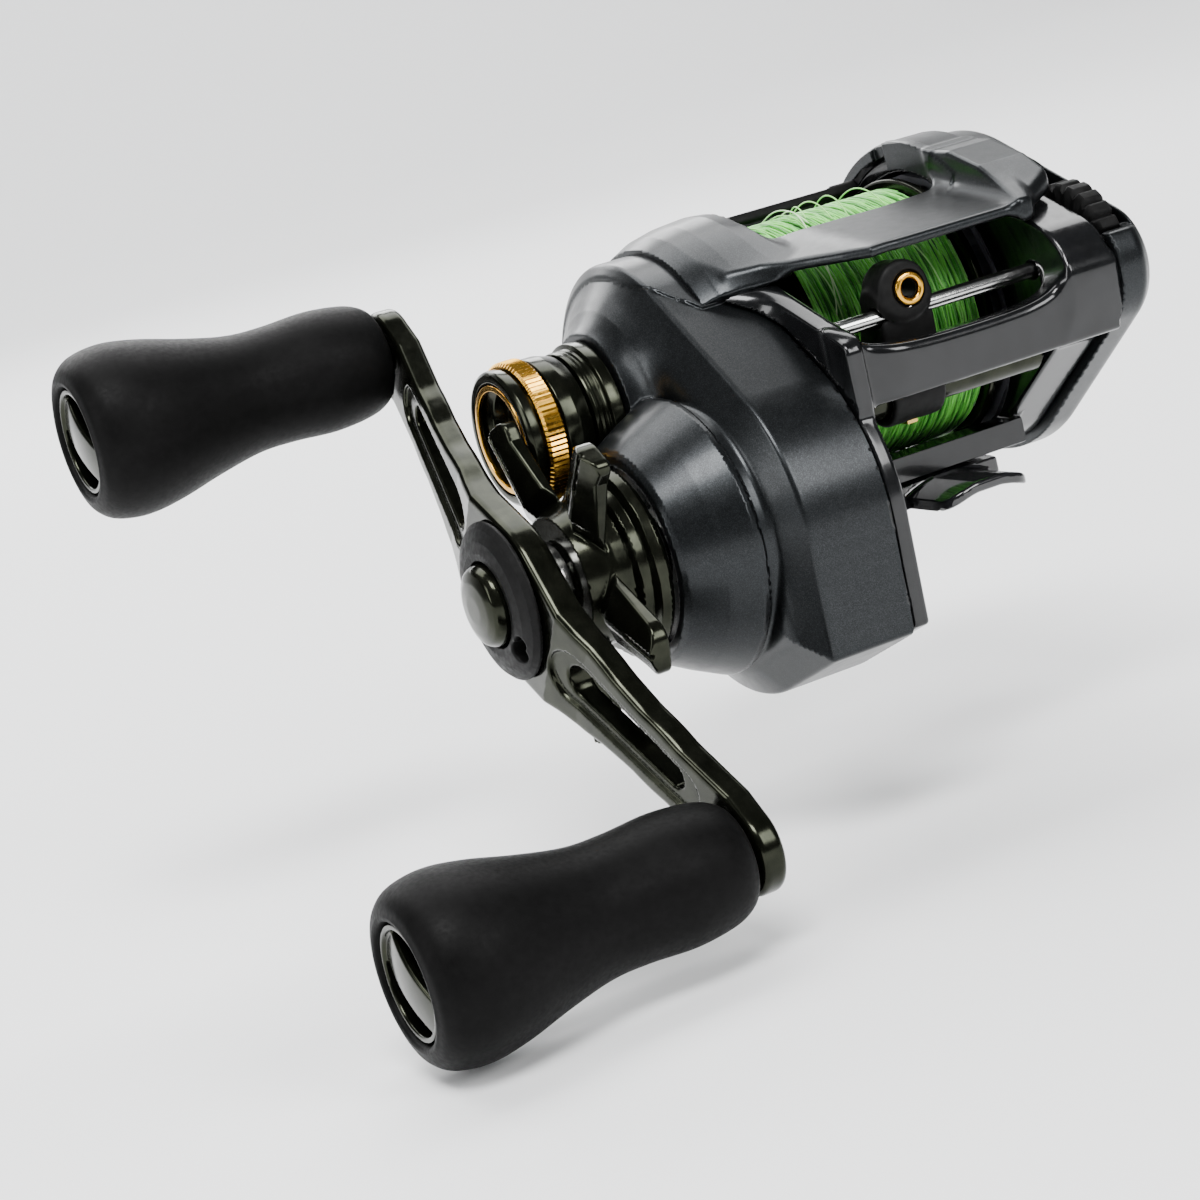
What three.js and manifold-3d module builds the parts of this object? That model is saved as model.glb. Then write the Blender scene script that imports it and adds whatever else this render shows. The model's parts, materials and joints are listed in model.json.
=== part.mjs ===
// A low-profile baitcasting reel, right-hand retrieve, as an assembly of separate pieces.
//
// Millimetres. X runs along the spool axis with the handle on the -X side, the line leaves
// towards -Y and +Z is up. Every sub-part is laid out from the centre of the spool; the outer
// group then moves the origin down to the crown of the foot's arched underside.

import * as THREE from 'three';
import { mergeVertices } from 'three/addons/utils/BufferGeometryUtils.js';
import Module from 'manifold-3d';

const wasm = await Module();
wasm.setup();

// ---------------------------------------------------------------- driving dimensions

const GAP = 0.3; // clearance between neighbouring pieces
const SPOOL_AXIS_HEIGHT = 18.8; // above the crown of the foot's underside
const FOOT_CENTRE_X = 1.5;

const FLANGE_RADIUS = 16.9;
const LINE_RADIUS = 16.0;
const LINE_HALF_WIDTH = 10.9;
const FLANGE_OUTER_X = 12.4;
const SPOOL_SHAFT_RADIUS = 1.0;

const DRIVE = [-14.2, -15.1]; // drive shaft axis (y, z); the spool axis is (0, 0)
const SPOOL = [0, 0];
const DRIVE_SHAFT_RADIUS = 3.0;
const MAIN_TEETH = 85;
const PINION_TEETH = 10;

const WALL_OUTER_X = -17.0; // handle-side wall of the frame
const WALL_INNER_X = -15.2;
const PALM_RING_INNER_X = 13.6;
const PALM_RING_OUTER_X = 20.0;
const RING_BORE_RADIUS = 17.3;

const PLATE_RIDGE_X = -28.2; // handle-side plate: ridge, face and boss stations along X
const PLATE_FACE_X = -31.8;
const BOSS_END_X = -41.2;
const BOSS_BASE_RADIUS = 15.8;
const BOSS_RIM_RADIUS = 12.6;
const BOSS_BORE_RADIUS = 11.0;

const PALM_PLATE_END_X = 28.2;
const DIAL_AXIS = [-21.0, 4.6];
const DIAL_RADIUS = 8.4;

const GEAR_CLEAR_X = [-18.8, -17.4]; // level-wind gears, just outside the frame wall
const LEVEL_WIND_MODULE = 0.5;
const LEVEL_WIND_TEETH = [20, 10, 9]; // on the drive shaft, idler, on the worm
const WORM_DIRECTION = THREE.MathUtils.degToRad(123.2);
const GUIDE_BAR = [-24.2, 4.4];
const GUIDE_BAR_RADIUS = 0.95;
const LINE_EYE_Z = 6.9;
const CARRIAGE_X = -5.0;
const CARRIAGE_HALF_WIDTH = 3.6;
const EYE_X = CARRIAGE_X + 0.5;

const ARM_ANGLE = THREE.MathUtils.degToRad(39.5); // handle arm above the +Y direction
const KNOB_RADIUS_FROM_AXIS = 42.0;
const KNOB_START_X = -52.4;
const KNOB_END_X = -91.2;
const STAR_ARMS = 5;
const STAR_RADIUS = 20.2;

const CAP_RING_X = [-45.1, -42.5]; // knurled ring of the cast control cap
const CAP_RING_RADIUS = 8.8;

const CLUTCH_SLIDE = 1.6; // travel of the pinion when the clutch opens
const THUMB_TRAVEL = 4.5;

const FOOT_BLOCK_BOTTOM = -17.1;
const FOOT_BLOCK_TOP = -14.0;
const FOOT_SCREW_Y = [-11.5, 11.5];

// ---------------------------------------------------------------- materials

function finish(color, roughness, metalness) {
  return new THREE.MeshStandardMaterial({ color, roughness, metalness });
}
const graphitePaint = () => finish(0x3a3d40, 0.32, 0.6);
const blackAlloy = () => finish(0x141512, 0.2, 0.8);
const glossBlack = () => finish(0x101113, 0.15, 0.4);
const matteBlack = () => finish(0x161616, 0.75, 0.0);
const rubber = () => finish(0x0c0c0c, 0.85, 0.0);
const gold = () => finish(0xd09a28, 0.25, 1.0);
const brightSteel = () => finish(0xb9bab8, 0.22, 1.0);
const brass = () => finish(0xb08d45, 0.3, 1.0);
const greyPlastic = () => finish(0x4a4c50, 0.55, 0.0);
const greenBraid = () => finish(0x58c040, 0.8, 0.0);
const carbonFibre = () => finish(0x202020, 0.6, 0.1);

// ---------------------------------------------------------------- solids

// The signed volume of an indexed triangle mesh: negative when its faces point inwards.
function signedVolume(position, index) {
  const a = new THREE.Vector3();
  const b = new THREE.Vector3();
  const c = new THREE.Vector3();
  let volume = 0;
  for (let i = 0; i < index.length; i += 3) {
    a.fromBufferAttribute(position, index[i]);
    b.fromBufferAttribute(position, index[i + 1]);
    c.fromBufferAttribute(position, index[i + 2]);
    volume += a.dot(b.cross(c)) / 6;
  }
  return volume;
}

function toSolid(geometry) {
  const bare = geometry.clone();
  bare.deleteAttribute('normal');
  bare.deleteAttribute('uv');
  const merged = mergeVertices(bare, 1e-4);
  const index = [];
  const source = merged.index.array;
  for (let i = 0; i < source.length; i += 3) {
    const corners = source.slice(i, i + 3);
    if (new Set(corners).size === 3) index.push(...corners);
  }
  if (signedVolume(merged.attributes.position, index) < 0) index.reverse();
  return new wasm.Manifold(new wasm.Mesh({
    numProp: 3,
    vertProperties: new Float32Array(merged.attributes.position.array),
    triVerts: new Uint32Array(index),
  }));
}

function toGeometry(solid) {
  const { vertProperties, triVerts } = solid.getMesh();
  const geometry = new THREE.BufferGeometry();
  geometry.setAttribute('position', new THREE.BufferAttribute(new Float32Array(vertProperties), 3));
  geometry.setIndex(new THREE.BufferAttribute(new Uint32Array(triVerts), 1));
  return geometry;
}

const join = (first, ...others) => others.reduce((sum, other) => sum.add(other), first);
const cut = (first, ...others) => others.reduce((rest, other) => rest.subtract(other), first);

// ---------------------------------------------------------------- shapes

// A closed [x, radius] profile turned about the line y, z = axis.
function lathe(axis, profile, segments = 16) {
  const points = profile.map(([x, radius]) => new THREE.Vector2(radius, x));
  const geometry = new THREE.LatheGeometry(points, segments);
  geometry.rotateZ(-Math.PI / 2);
  geometry.translate(0, axis[0], axis[1]);
  return toSolid(geometry);
}

function rod(axis, radius, x0, x1, segments = 16) {
  return lathe(axis, [[x0, 0], [x0, radius], [x1, radius], [x1, 0]], segments);
}

function tube(axis, inner, outer, x0, x1, segments = 16) {
  return lathe(axis, [[x0, inner], [x0, outer], [x1, outer], [x1, inner], [x0, inner]], segments);
}

const EXTRUDE_ALONG = {
  x: new THREE.Matrix4().makeBasis(
    new THREE.Vector3(0, 1, 0), new THREE.Vector3(0, 0, 1), new THREE.Vector3(1, 0, 0)),
  y: new THREE.Matrix4().makeBasis(
    new THREE.Vector3(0, 0, 1), new THREE.Vector3(1, 0, 0), new THREE.Vector3(0, 1, 0)),
  z: new THREE.Matrix4(),
};

// A polygon pushed along one axis. Its points are (y, z) for x, (z, x) for y and (x, y) for z.
function slab(points, from, to, along = 'x') {
  const shape = new THREE.Shape(points.map(([u, v]) => new THREE.Vector2(u, v)));
  const geometry = new THREE.ExtrudeGeometry(shape, { depth: to - from, bevelEnabled: false });
  geometry.translate(0, 0, from);
  geometry.applyMatrix4(EXTRUDE_ALONG[along]);
  return toSolid(geometry);
}

function block(x, y, z) {
  const geometry = new THREE.BoxGeometry(x[1] - x[0], y[1] - y[0], z[1] - z[0]);
  geometry.translate((x[0] + x[1]) / 2, (y[0] + y[1]) / 2, (z[0] + z[1]) / 2);
  return toSolid(geometry);
}

// The outline stretched round a set of circles [u, v, radius], one point for each direction.
function outline(circles, count = 32) {
  const points = [];
  for (let i = 0; i < count; i += 1) {
    const angle = (2 * Math.PI * i) / count;
    const [nu, nv] = [Math.cos(angle), Math.sin(angle)];
    const reach = ([u, v, radius]) => u * nu + v * nv + radius;
    const furthest = circles.reduce((best, circle) => (reach(circle) > reach(best) ? circle : best));
    const [u, v, radius] = furthest;
    points.push([u + radius * nu, v + radius * nv]);
  }
  return points;
}

function hullPlate(circles, x0, x1, count = 32) {
  const points = outline(circles, count);
  const distinct = points.filter(([u, v], i) => {
    const [pu, pv] = points[(i + count - 1) % count];
    return Math.hypot(u - pu, v - pv) > 1e-3;
  });
  return slab(distinct, x0, x1);
}

// A skin through outlines with the same number of points, one at each x, closed at both ends.
function loft(sections, count = 32) {
  const rings = sections.map(({ x, circles }) => outline(circles, count).map(([y, z]) => [x, y, z]));
  const last = rings.length - 1;
  const index = [];
  rings.slice(1).forEach((ring, step) => {
    for (let i = 0; i < count; i += 1) {
      const next = (i + 1) % count;
      const [a, b] = [step * count + i, step * count + next];
      index.push(a, b, b + count, a, b + count, a + count);
    }
  });
  const middle = (ring) => [0, 1, 2].map((k) => ring.reduce((sum, point) => sum + point[k] / count, 0));
  const centres = [middle(rings[0]), middle(rings[last])];
  const firstCentre = rings.length * count;
  for (let i = 0; i < count; i += 1) {
    const next = (i + 1) % count;
    index.push(firstCentre, next, i);
    index.push(firstCentre + 1, last * count + i, last * count + next);
  }
  const geometry = new THREE.BufferGeometry();
  const flat = new Float32Array([...rings.flat(2), ...centres.flat()]);
  geometry.setAttribute('position', new THREE.BufferAttribute(flat, 3));
  geometry.setIndex(index);
  return toSolid(geometry);
}

// A spur gear with straight-sided teeth; `phase` turns its first tooth away from +Y.
function spurGear(axis, teeth, module, x0, x1, bore, phase = 0) {
  const pitchRadius = (teeth * module) / 2;
  const step = (2 * Math.PI) / teeth;
  const root = pitchRadius - 1.2 * module;
  const tip = pitchRadius + 0.8 * module;
  const points = [];
  for (let i = 0; i < teeth; i += 1) {
    const flank = [[-0.27, root], [-0.09, tip], [0.09, tip], [0.27, root]];
    flank.forEach(([offset, radius]) => {
      const angle = phase + (i + offset) * step;
      points.push([axis[0] + radius * Math.cos(angle), axis[1] + radius * Math.sin(angle)]);
    });
  }
  return cut(slab(points, x0, x1), rod(axis, bore, x0 - 1, x1 + 1, 12));
}

function polar(axis, radius, angle) {
  return [axis[0] + radius * Math.cos(angle), axis[1] + radius * Math.sin(angle)];
}

const degrees = THREE.MathUtils.degToRad;

// The slice of a ring round `axis` between two angles, as a polygon.
function sector(axis, inner, outer, fromAngle, toAngle, steps = 10) {
  const step = (toAngle - fromAngle) / steps;
  const angles = Array.from({ length: steps + 1 }, (_, i) => fromAngle + step * i);
  const outside = angles.map((angle) => polar(axis, outer, angle));
  const inside = angles.map((angle) => polar(axis, inner, angle)).reverse();
  return [...outside, ...inside];
}

// ---------------------------------------------------------------- the assembly

const reel = new THREE.Group();
reel.position.set(-FOOT_CENTRE_X, 0, SPOOL_AXIS_HEIGHT);

function add(name, solid, material) {
  const part = new THREE.Mesh(toGeometry(solid), material);
  part.name = name;
  reel.add(part);
}

const driveToSpool = Math.atan2(SPOOL[1] - DRIVE[1], SPOOL[0] - DRIVE[0]);
const centreDistance = Math.hypot(DRIVE[0], DRIVE[1]);
const gearModule = (2 * centreDistance) / (MAIN_TEETH + PINION_TEETH);
const [driverTeeth, idlerTeeth, wormTeeth] = LEVEL_WIND_TEETH;
const idlerDistance = ((driverTeeth + idlerTeeth) * LEVEL_WIND_MODULE) / 2;
const wormDistance = idlerDistance + ((idlerTeeth + wormTeeth) * LEVEL_WIND_MODULE) / 2;
const IDLER = polar(DRIVE, idlerDistance, WORM_DIRECTION);
const WORM = polar(DRIVE, wormDistance, WORM_DIRECTION);

// The thumb bar slides along a 45 degree line, and its peg moves with it.
const PEG_REST = [11.3, 7.9];
const PEG_PRESSED = polar(PEG_REST, THUMB_TRAVEL, -Math.PI / 4);

// The yoke lies across the line from the spool axis to the drive shaft.
const YOKE_ANGLE = driveToSpool + Math.PI / 2;
const YOKE_POST_RADIUS = 0.8;
const yokePosts = [-6.4, 6.4].map((offset) => polar(SPOOL, offset, YOKE_ANGLE));
const yokeLegs = [-8.5, 8.5].map((offset) => polar(SPOOL, offset, YOKE_ANGLE));

// Outlines of the casings, as circles that the skin is stretched round.
const SPOOL_CASE = [1.5, -1.5];
const CHIN = [-30.3, -28.8];
const PALM_NOSE = [-24.5, 2.8];
const caseCircles = (spoolSide, gearSide, chin) => [
  [...SPOOL_CASE, spoolSide], [...DRIVE, gearSide], [...CHIN, chin]];
const palmCircles = (spoolSide, nose) => [[...SPOOL, spoolSide], [...PALM_NOSE, nose]];

// ---------------------------------------------------------------- frame and foot

const barProfile = [
  [-30.7, 1.2], [-30.4, -3.6], [-28.6, -4.2], [-27.2, -3.2], [-27.4, 1.6], [-29.0, 2.3]];
const frontArm = [[-29.0, 0.6, 1.7], [-28.9, -2.5, 1.7], [-11.0, 8.4, 2.3], [-14, -8, 3]];
const handleWall = join(
  hullPlate(caseCircles(17.0, 19.9, 2.4), WALL_OUTER_X, WALL_INNER_X),
  hullPlate(frontArm, WALL_OUTER_X, WALL_INNER_X),
);
const palmRing = hullPlate(palmCircles(19.2, 7.2), PALM_RING_INNER_X, PALM_RING_OUTER_X, 36);
const frontBar = slab(barProfile, WALL_OUTER_X, PALM_RING_OUTER_X);
const BETWEEN_SIDES = [WALL_INNER_X - 1, PALM_RING_INNER_X + 1]; // one millimetre into each side
const rearBar = slab(
  sector(SPOOL, RING_BORE_RADIUS, 19.1, degrees(-32), degrees(-8), 6), ...BETWEEN_SIDES);
const footBlocks = [-14.6, 3.4].map((y) => block(
  BETWEEN_SIDES, [y, y + 11.2], [FOOT_BLOCK_BOTTOM, FOOT_BLOCK_TOP]));

function screwHole(y, radius, z0, z1) {
  const geometry = new THREE.CylinderGeometry(radius, radius, z1 - z0, 14);
  geometry.rotateX(Math.PI / 2);
  geometry.translate(FOOT_CENTRE_X, y, (z0 + z1) / 2);
  return toSolid(geometry);
}

const frame = cut(
  join(handleWall, palmRing, frontBar, rearBar, ...footBlocks),
  rod(SPOOL, RING_BORE_RADIUS, WALL_INNER_X, PALM_RING_OUTER_X + 1, 40),
  rod(SPOOL, 5.3, WALL_OUTER_X - 1, WALL_INNER_X + 1),
  rod(DRIVE, 4.5, WALL_OUTER_X - 1, WALL_INNER_X + 1),
  rod(WORM, 2.2, WALL_OUTER_X - 1, 16.4, 20),
  rod(GUIDE_BAR, GUIDE_BAR_RADIUS + GAP, WALL_OUTER_X + 0.6, 15.4, 20),
  hullPlate([[...PEG_REST, 1.4], [...PEG_PRESSED, 1.4]], WALL_OUTER_X - 1, WALL_INNER_X + 1, 24),
  ...FOOT_SCREW_Y.map((y) => screwHole(y, 1.5, -18, -13.6)),
);
const wallPins = [
  ...yokePosts.map((post) => rod(post, YOKE_POST_RADIUS, -28.6, WALL_OUTER_X + 0.5, 12)),
  rod(IDLER, 0.8, GEAR_CLEAR_X[0] - 0.1, WALL_OUTER_X + 0.5, 12),
];
const PLATE_SCREWS = [[-27.0, -25.5], [-2.8, -28.0], [12.6, -8.0]];
const screwClearance = PLATE_SCREWS.map((at) => (
  rod(at, 1.2 + GAP, WALL_OUTER_X - 1, WALL_INNER_X + 1, 16)));
add('frame', cut(join(frame, ...wallPins), ...screwClearance), blackAlloy());

// The foot is a thin strip whose underside is arched across its width to sit on a round rod seat.
const FOOT_Y = [-25.0, 31.0];
const FOOT_ARCH_RADIUS = 13.6;
const FOOT_HALF_WIDTH = 6.0;
const FOOT_THICKNESS = 1.35;
const CROWN_FLAT = 1.6; // half the width of the flat along the crown
const FOOT_CROWN_Z = -SPOOL_AXIS_HEIGHT;
const archDrop = (x) => FOOT_ARCH_RADIUS - Math.sqrt(FOOT_ARCH_RADIUS ** 2 - x ** 2);
const archStations = [-FOOT_HALF_WIDTH, -4.6, -3.1, -CROWN_FLAT, CROWN_FLAT, 3.1, 4.6, FOOT_HALF_WIDTH];
const archUnderside = archStations.map((x) => [FOOT_CROWN_Z + archDrop(CROWN_FLAT) - archDrop(x), x]);
const archBelow = [[-26, -FOOT_HALF_WIDTH], ...archUnderside, [-26, FOOT_HALF_WIDTH]];
const archTop = archUnderside.map(([z, x]) => [z + FOOT_THICKNESS, x]);
const strip = slab([...archUnderside, ...archTop.reverse()], FOOT_Y[0], FOOT_Y[1], 'y');
const PAD_BOTTOM = archUnderside[0][0];
const PAD_TOP = FOOT_BLOCK_BOTTOM - GAP;
const pad = cut(
  block([-8.2, 8.2], [-15.5, 15.5], [PAD_BOTTOM, PAD_TOP]),
  slab(archBelow, -16, 16, 'y'),
);
const FOOT_TIP = 2.4;
const footCircles = [-1, 1].flatMap((side) => [
  [side * 3.6, FOOT_Y[0] + FOOT_TIP, FOOT_TIP],
  [side * 6.2, -13.5, 2],
  [side * 6.2, 13.5, 2],
  [side * 3.6, FOOT_Y[1] - FOOT_TIP, FOOT_TIP],
]);
const footPlan = slab(outline(footCircles, 48), -24, -16, 'z');
const footBody = join(strip, pad).intersect(footPlan).translate([FOOT_CENTRE_X, 0, 0]);
add('reel_foot', cut(
  footBody,
  ...FOOT_SCREW_Y.map((y) => screwHole(y, 1.5, -22, -16)),
  ...FOOT_SCREW_Y.map((y) => screwHole(y, 2.4, -22, -18.2)),
), glossBlack());
FOOT_SCREW_Y.forEach((y, i) => {
  const screw = join(screwHole(y, 1.2, -18.4, -14.2), screwHole(y, 2.1, -19.0, -18.3));
  add(`foot_screw_${i + 1}`, screw, brightSteel());
});

// ---------------------------------------------------------------- handle-side plate and hood

const plateSkin = loft([
  { x: WALL_OUTER_X - GAP, circles: caseCircles(17.5, 20.4, 2.9) },
  { x: -26.4, circles: caseCircles(17.6, 20.5, 3.0) },
  { x: PLATE_RIDGE_X, circles: caseCircles(16.6, 19.6, 2.0) },
  { x: PLATE_FACE_X, circles: [[0, 0, 11.4], [...DRIVE, 16.4], [-24.6, -24.6, 1.0]] },
], 36);
const boss = lathe(DRIVE, [
  [PLATE_FACE_X + 1, 0], [PLATE_FACE_X + 1, BOSS_BASE_RADIUS], [-36.5, 14.7],
  [-40.3, BOSS_RIM_RADIUS + 0.7], [BOSS_END_X, BOSS_RIM_RADIUS], [BOSS_END_X, 0],
], 24);
const COLLAR_END_X = -34.4;
const collar = lathe(
  SPOOL, [[PLATE_FACE_X + 1, 0], [PLATE_FACE_X + 1, 9.9], [COLLAR_END_X, 9.5], [COLLAR_END_X, 0]], 24);
const plateCavity = loft([
  { x: WALL_OUTER_X, circles: caseCircles(16.1, 19.4, 1.5) },
  { x: -26.2, circles: caseCircles(16.1, 19.4, 1.5) },
  { x: -29.6, circles: [[0, 0, 9.2], [...DRIVE, 14.4], [-24, -24, 0.6]] },
]);
add('handle_side_plate', cut(
  join(plateSkin, cut(boss, rod(SPOOL, 9.3, BOSS_END_X - 1, COLLAR_END_X, 24)), collar),
  plateCavity,
  rod(DRIVE, BOSS_BORE_RADIUS, BOSS_END_X - 1, -25, 24),
  rod(SPOOL, 6.7, COLLAR_END_X - 1, -25),
), graphitePaint());
PLATE_SCREWS.forEach((at, i) => {
  const headX = WALL_INNER_X + GAP;
  const screw = join(rod(at, 1.2, -16.9, headX, 12), rod(at, 2.1, headX, -14.0, 12));
  add(`side_plate_screw_${i + 1}`, screw, brightSteel());
});

// The hood bridges the spool's front: a limb on each side plate with a sloping band between them.
const LIMB_INNER = 17.95;
const LIMB_FRONT = degrees(136);
const DOME_INNER = 19.5;
const DOME_OUTER = 21.2;

function limbSection(x, lift, rear) {
  return { x, points: sector(SPOOL_CASE, LIMB_INNER, LIMB_INNER + lift, rear, LIMB_FRONT, 12) };
}

// A skin between two sections with the same number of (y, z) points, closed by flat ends.
function span(first, second) {
  const count = first.points.length;
  const vertices = [first, second].flatMap(({ x, points }) => points.flatMap(([y, z]) => [x, y, z]));
  const index = [];
  for (let k = 0; k < count; k += 1) {
    const next = (k + 1) % count;
    index.push(k, next, next + count, k, next + count, k + count);
  }
  const contour = first.points.map(([y, z]) => new THREE.Vector2(y, z));
  THREE.ShapeUtils.triangulateShape(contour, []).forEach(([a, b, c]) => {
    index.push(a, c, b, a + count, b + count, c + count);
  });
  const geometry = new THREE.BufferGeometry();
  geometry.setAttribute('position', new THREE.BufferAttribute(new Float32Array(vertices), 3));
  geometry.setIndex(index);
  return toSolid(geometry);
}

const edgeSection = limbSection(-24.0, 0.4, degrees(22));
const shoulderSection = limbSection(-19.5, 1.9, degrees(22));
const crestSection = limbSection(-15.2, 2.4, degrees(22));
const leftLimb = cut(
  join(
    span(edgeSection, shoulderSection),
    span(shoulderSection, crestSection),
    span(limbSection(-15.6, 2.4, degrees(78)), limbSection(-13.1, 1.9, degrees(78))),
  ),
  hullPlate(caseCircles(17.9, 20.8, 3.3), -25, WALL_INNER_X, 48),
);
const bandProfile = [
  [-9.4, 16.3], [-9.6, 15.0], [-17.0, 13.2], [-24.7, 11.5], [-25.8, 11.1], [-26.0, 12.2], [-24.9, 12.9],
  [-17.0, 14.9]];
const bandPlan = [
  [13.3, -25.9], [-5, -25.9], [-9.5, -23.6], [-13, -17.5], [-17.4, -11.5], [-17.4, -6.5], [-13.2, -9.5],
  [13.3, -9.5]];
const band = slab(bandProfile, -18, 14).intersect(slab(bandPlan, 8, 20, 'z'));
const nose = [
  [-7.94, 19.66], [-19.5, 17.0], [-26.2, 13.4], [-26.6, 10.35], [-8.04, 18.23], [-6.6, 18.9]];
const rightLimb = join(
  slab(sector(SPOOL, DOME_INNER, DOME_OUTER, degrees(86), degrees(112), 5), 12.9, PALM_RING_OUTER_X),
  slab(sector(SPOOL, DOME_INNER, DOME_OUTER, degrees(50), degrees(88), 7), 13.5, PALM_RING_OUTER_X),
  slab(nose, 12.9, PALM_RING_OUTER_X),
);
const web = cut(
  slab(sector(SPOOL, 17.7, DOME_OUTER, degrees(86), degrees(128), 8), 12.9, 13.3),
  block([12, 14], [-12, 3], [0, 13]),
);
add('hood', join(leftLimb, band, rightLimb, web), graphitePaint());

// ---------------------------------------------------------------- palm side

const palmSkin = loft([
  { x: PALM_RING_OUTER_X + GAP, circles: palmCircles(20.3, 8.0) },
  { x: 24.2, circles: palmCircles(19.9, 7.7) },
  { x: 26.4, circles: palmCircles(18.2, 6.2) },
  { x: 27.7, circles: [[0, 0, 14.6], [-19.0, 2.0, 4.4]] },
  { x: PALM_PLATE_END_X, circles: [[0, 0, 8.6], [-10.5, 1.0, 2.4]] },
], 40);
const palmCavity = loft([
  { x: PALM_RING_OUTER_X, circles: palmCircles(18.4, 6.7) },
  { x: 24.4, circles: palmCircles(18.2, 6.6) },
  { x: 25.9, circles: [[0, 0, 13.5], [-19.0, 2.0, 4.4]] },
]);
const dialWindow = block([PALM_RING_OUTER_X, 24.7], [-31.0, -14.5], [7.0, 16.5]);
const RELEASE_KNOB = [8.6, -9.6];
add('palm_side_plate', join(
  cut(palmSkin, palmCavity, dialWindow, rod(RELEASE_KNOB, 2.9, 20, 30, 24)),
  rod(DIAL_AXIS, 1.7, 20.9, 26.2, 20),
), graphitePaint());
const around = (centre, reach) => [centre - reach, centre + reach];
add('release_knob', cut(
  join(rod(RELEASE_KNOB, 2.6, 25.6, PALM_PLATE_END_X, 24), rod(RELEASE_KNOB, 1.5, 20.8, 26, 16)),
  block([27.2, 29], around(RELEASE_KNOB[0], 2.1), around(RELEASE_KNOB[1], 0.4)),
), blackAlloy());
const DIAL_RIBS = 24;
const dialModule = DIAL_RADIUS / (DIAL_RIBS / 2 + 0.8);
add('brake_dial', spurGear(DIAL_AXIS, DIAL_RIBS, dialModule, 20.9, 24.1, 2.0), matteBlack());

const BRAKE_CASE_RADIUS = 16.9;
add('brake_case', lathe(SPOOL, [
  [19.6, 0], [17.3, 0], [17.3, 4.3], [14.8, 4.3], [14.8, 5.3], [17.3, 5.3], [17.3, 11.6], [13.3, 11.6],
  [13.3, 12.4], [17.3, 12.4], [17.3, 16.1], [13.9, 16.1],
  [13.9, BRAKE_CASE_RADIUS], [19.6, BRAKE_CASE_RADIUS], [19.6, 15.5], [18.7, 15.0], [18.7, 3.0],
  [19.6, 3.0], [19.6, 0],
], 20), greyPlastic());
add('palm_bearing', tube(SPOOL, SPOOL_SHAFT_RADIUS + GAP, 4.0, 14.9, 16.9, 16), brightSteel());

// ---------------------------------------------------------------- spool

const spoolBody = lathe(SPOOL, [
  [-FLANGE_OUTER_X, 5.0], [-FLANGE_OUTER_X, FLANGE_RADIUS - 0.5], [-12.1, FLANGE_RADIUS],
  [-11.2, FLANGE_RADIUS], [-11.2, 9.6], [11.2, 9.6], [11.2, FLANGE_RADIUS], [12.1, FLANGE_RADIUS],
  [FLANGE_OUTER_X, FLANGE_RADIUS - 0.5], [FLANGE_OUTER_X, 5.0], [10.0, 5.0], [10.0, 8.6], [0.6, 8.6],
  [0.6, 1.3], [-0.6, 1.3], [-0.6, 8.6], [-10.0, 8.6], [-10.0, 5.0], [-FLANGE_OUTER_X, 5.0],
], 24);
add('spool', spoolBody, blackAlloy());
add('line_pack', tube(SPOOL, 9.9, LINE_RADIUS, -LINE_HALF_WIDTH, LINE_HALF_WIDTH, 28), greenBraid());
add('spool_shaft', rod(SPOOL, SPOOL_SHAFT_RADIUS, -33.0, 16.9, 20), brightSteel());
add('brake_hub', tube(SPOOL, SPOOL_SHAFT_RADIUS + GAP, 4.6, 12.8, 14.4), greyPlastic());
const BRAKE_WEIGHTS = 2;
for (let i = 0; i < BRAKE_WEIGHTS; i += 1) {
  const angle = (2 * Math.PI * i) / BRAKE_WEIGHTS + Math.PI / 4;
  const flat = block([12.9, 14.3], [5.0, 10.6], [-1.0, 1.0]);
  const weight = flat.rotate([THREE.MathUtils.radToDeg(angle), 0, 0]);
  add(`brake_weight_${i + 1}`, weight, brass());
}

add('frame_bearing', tube(SPOOL, SPOOL_SHAFT_RADIUS + GAP, 5.0, -16.9, -15.3, 16), brightSteel());
add('pinion_bearing', tube(SPOOL, SPOOL_SHAFT_RADIUS + GAP, 6.4, -31.8, -29.6, 16), brightSteel());

// ---------------------------------------------------------------- clutch

const pinionPhase = driveToSpool + Math.PI + Math.PI / PINION_TEETH;
const PINION_BORE = 1.3;
add('pinion', join(
  spurGear(SPOOL, PINION_TEETH, gearModule, -25.0, -19.0, PINION_BORE, pinionPhase),
  lathe(SPOOL, [
    [-24.9, PINION_BORE], [-24.9, 3.4], [-25.5, 3.4], [-25.5, 2.3], [-26.7, 2.3], [-26.7, 3.4],
    [-27.3, 3.4], [-27.3, PINION_BORE], [-24.9, PINION_BORE]], 24),
), brass());

const yokeCircles = [...yokeLegs.map((leg) => [...leg, 1.6]), [...SPOOL, 3.6]];
const yokePlate = hullPlate(yokeCircles, -26.4, -25.8, 32);
const yokeSlot = hullPlate([[0, 0, 2.6], [...polar(SPOOL, 7, driveToSpool), 2.6]], -28, -24, 24);
add('clutch_yoke', join(
  cut(yokePlate, yokeSlot, ...yokePosts.map((post) => rod(post, YOKE_POST_RADIUS + GAP, -28, -24, 12))),
  ...yokeLegs.map((leg) => rod(leg, 1.0, -26.0, -18.95, 12)),
), greyPlastic());
yokePosts.forEach((post, i) => {
  add(`yoke_spring_${i + 1}`, tube(post, YOKE_POST_RADIUS + GAP, 1.6, -28.3, -26.7, 16), brightSteel());
});

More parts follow.
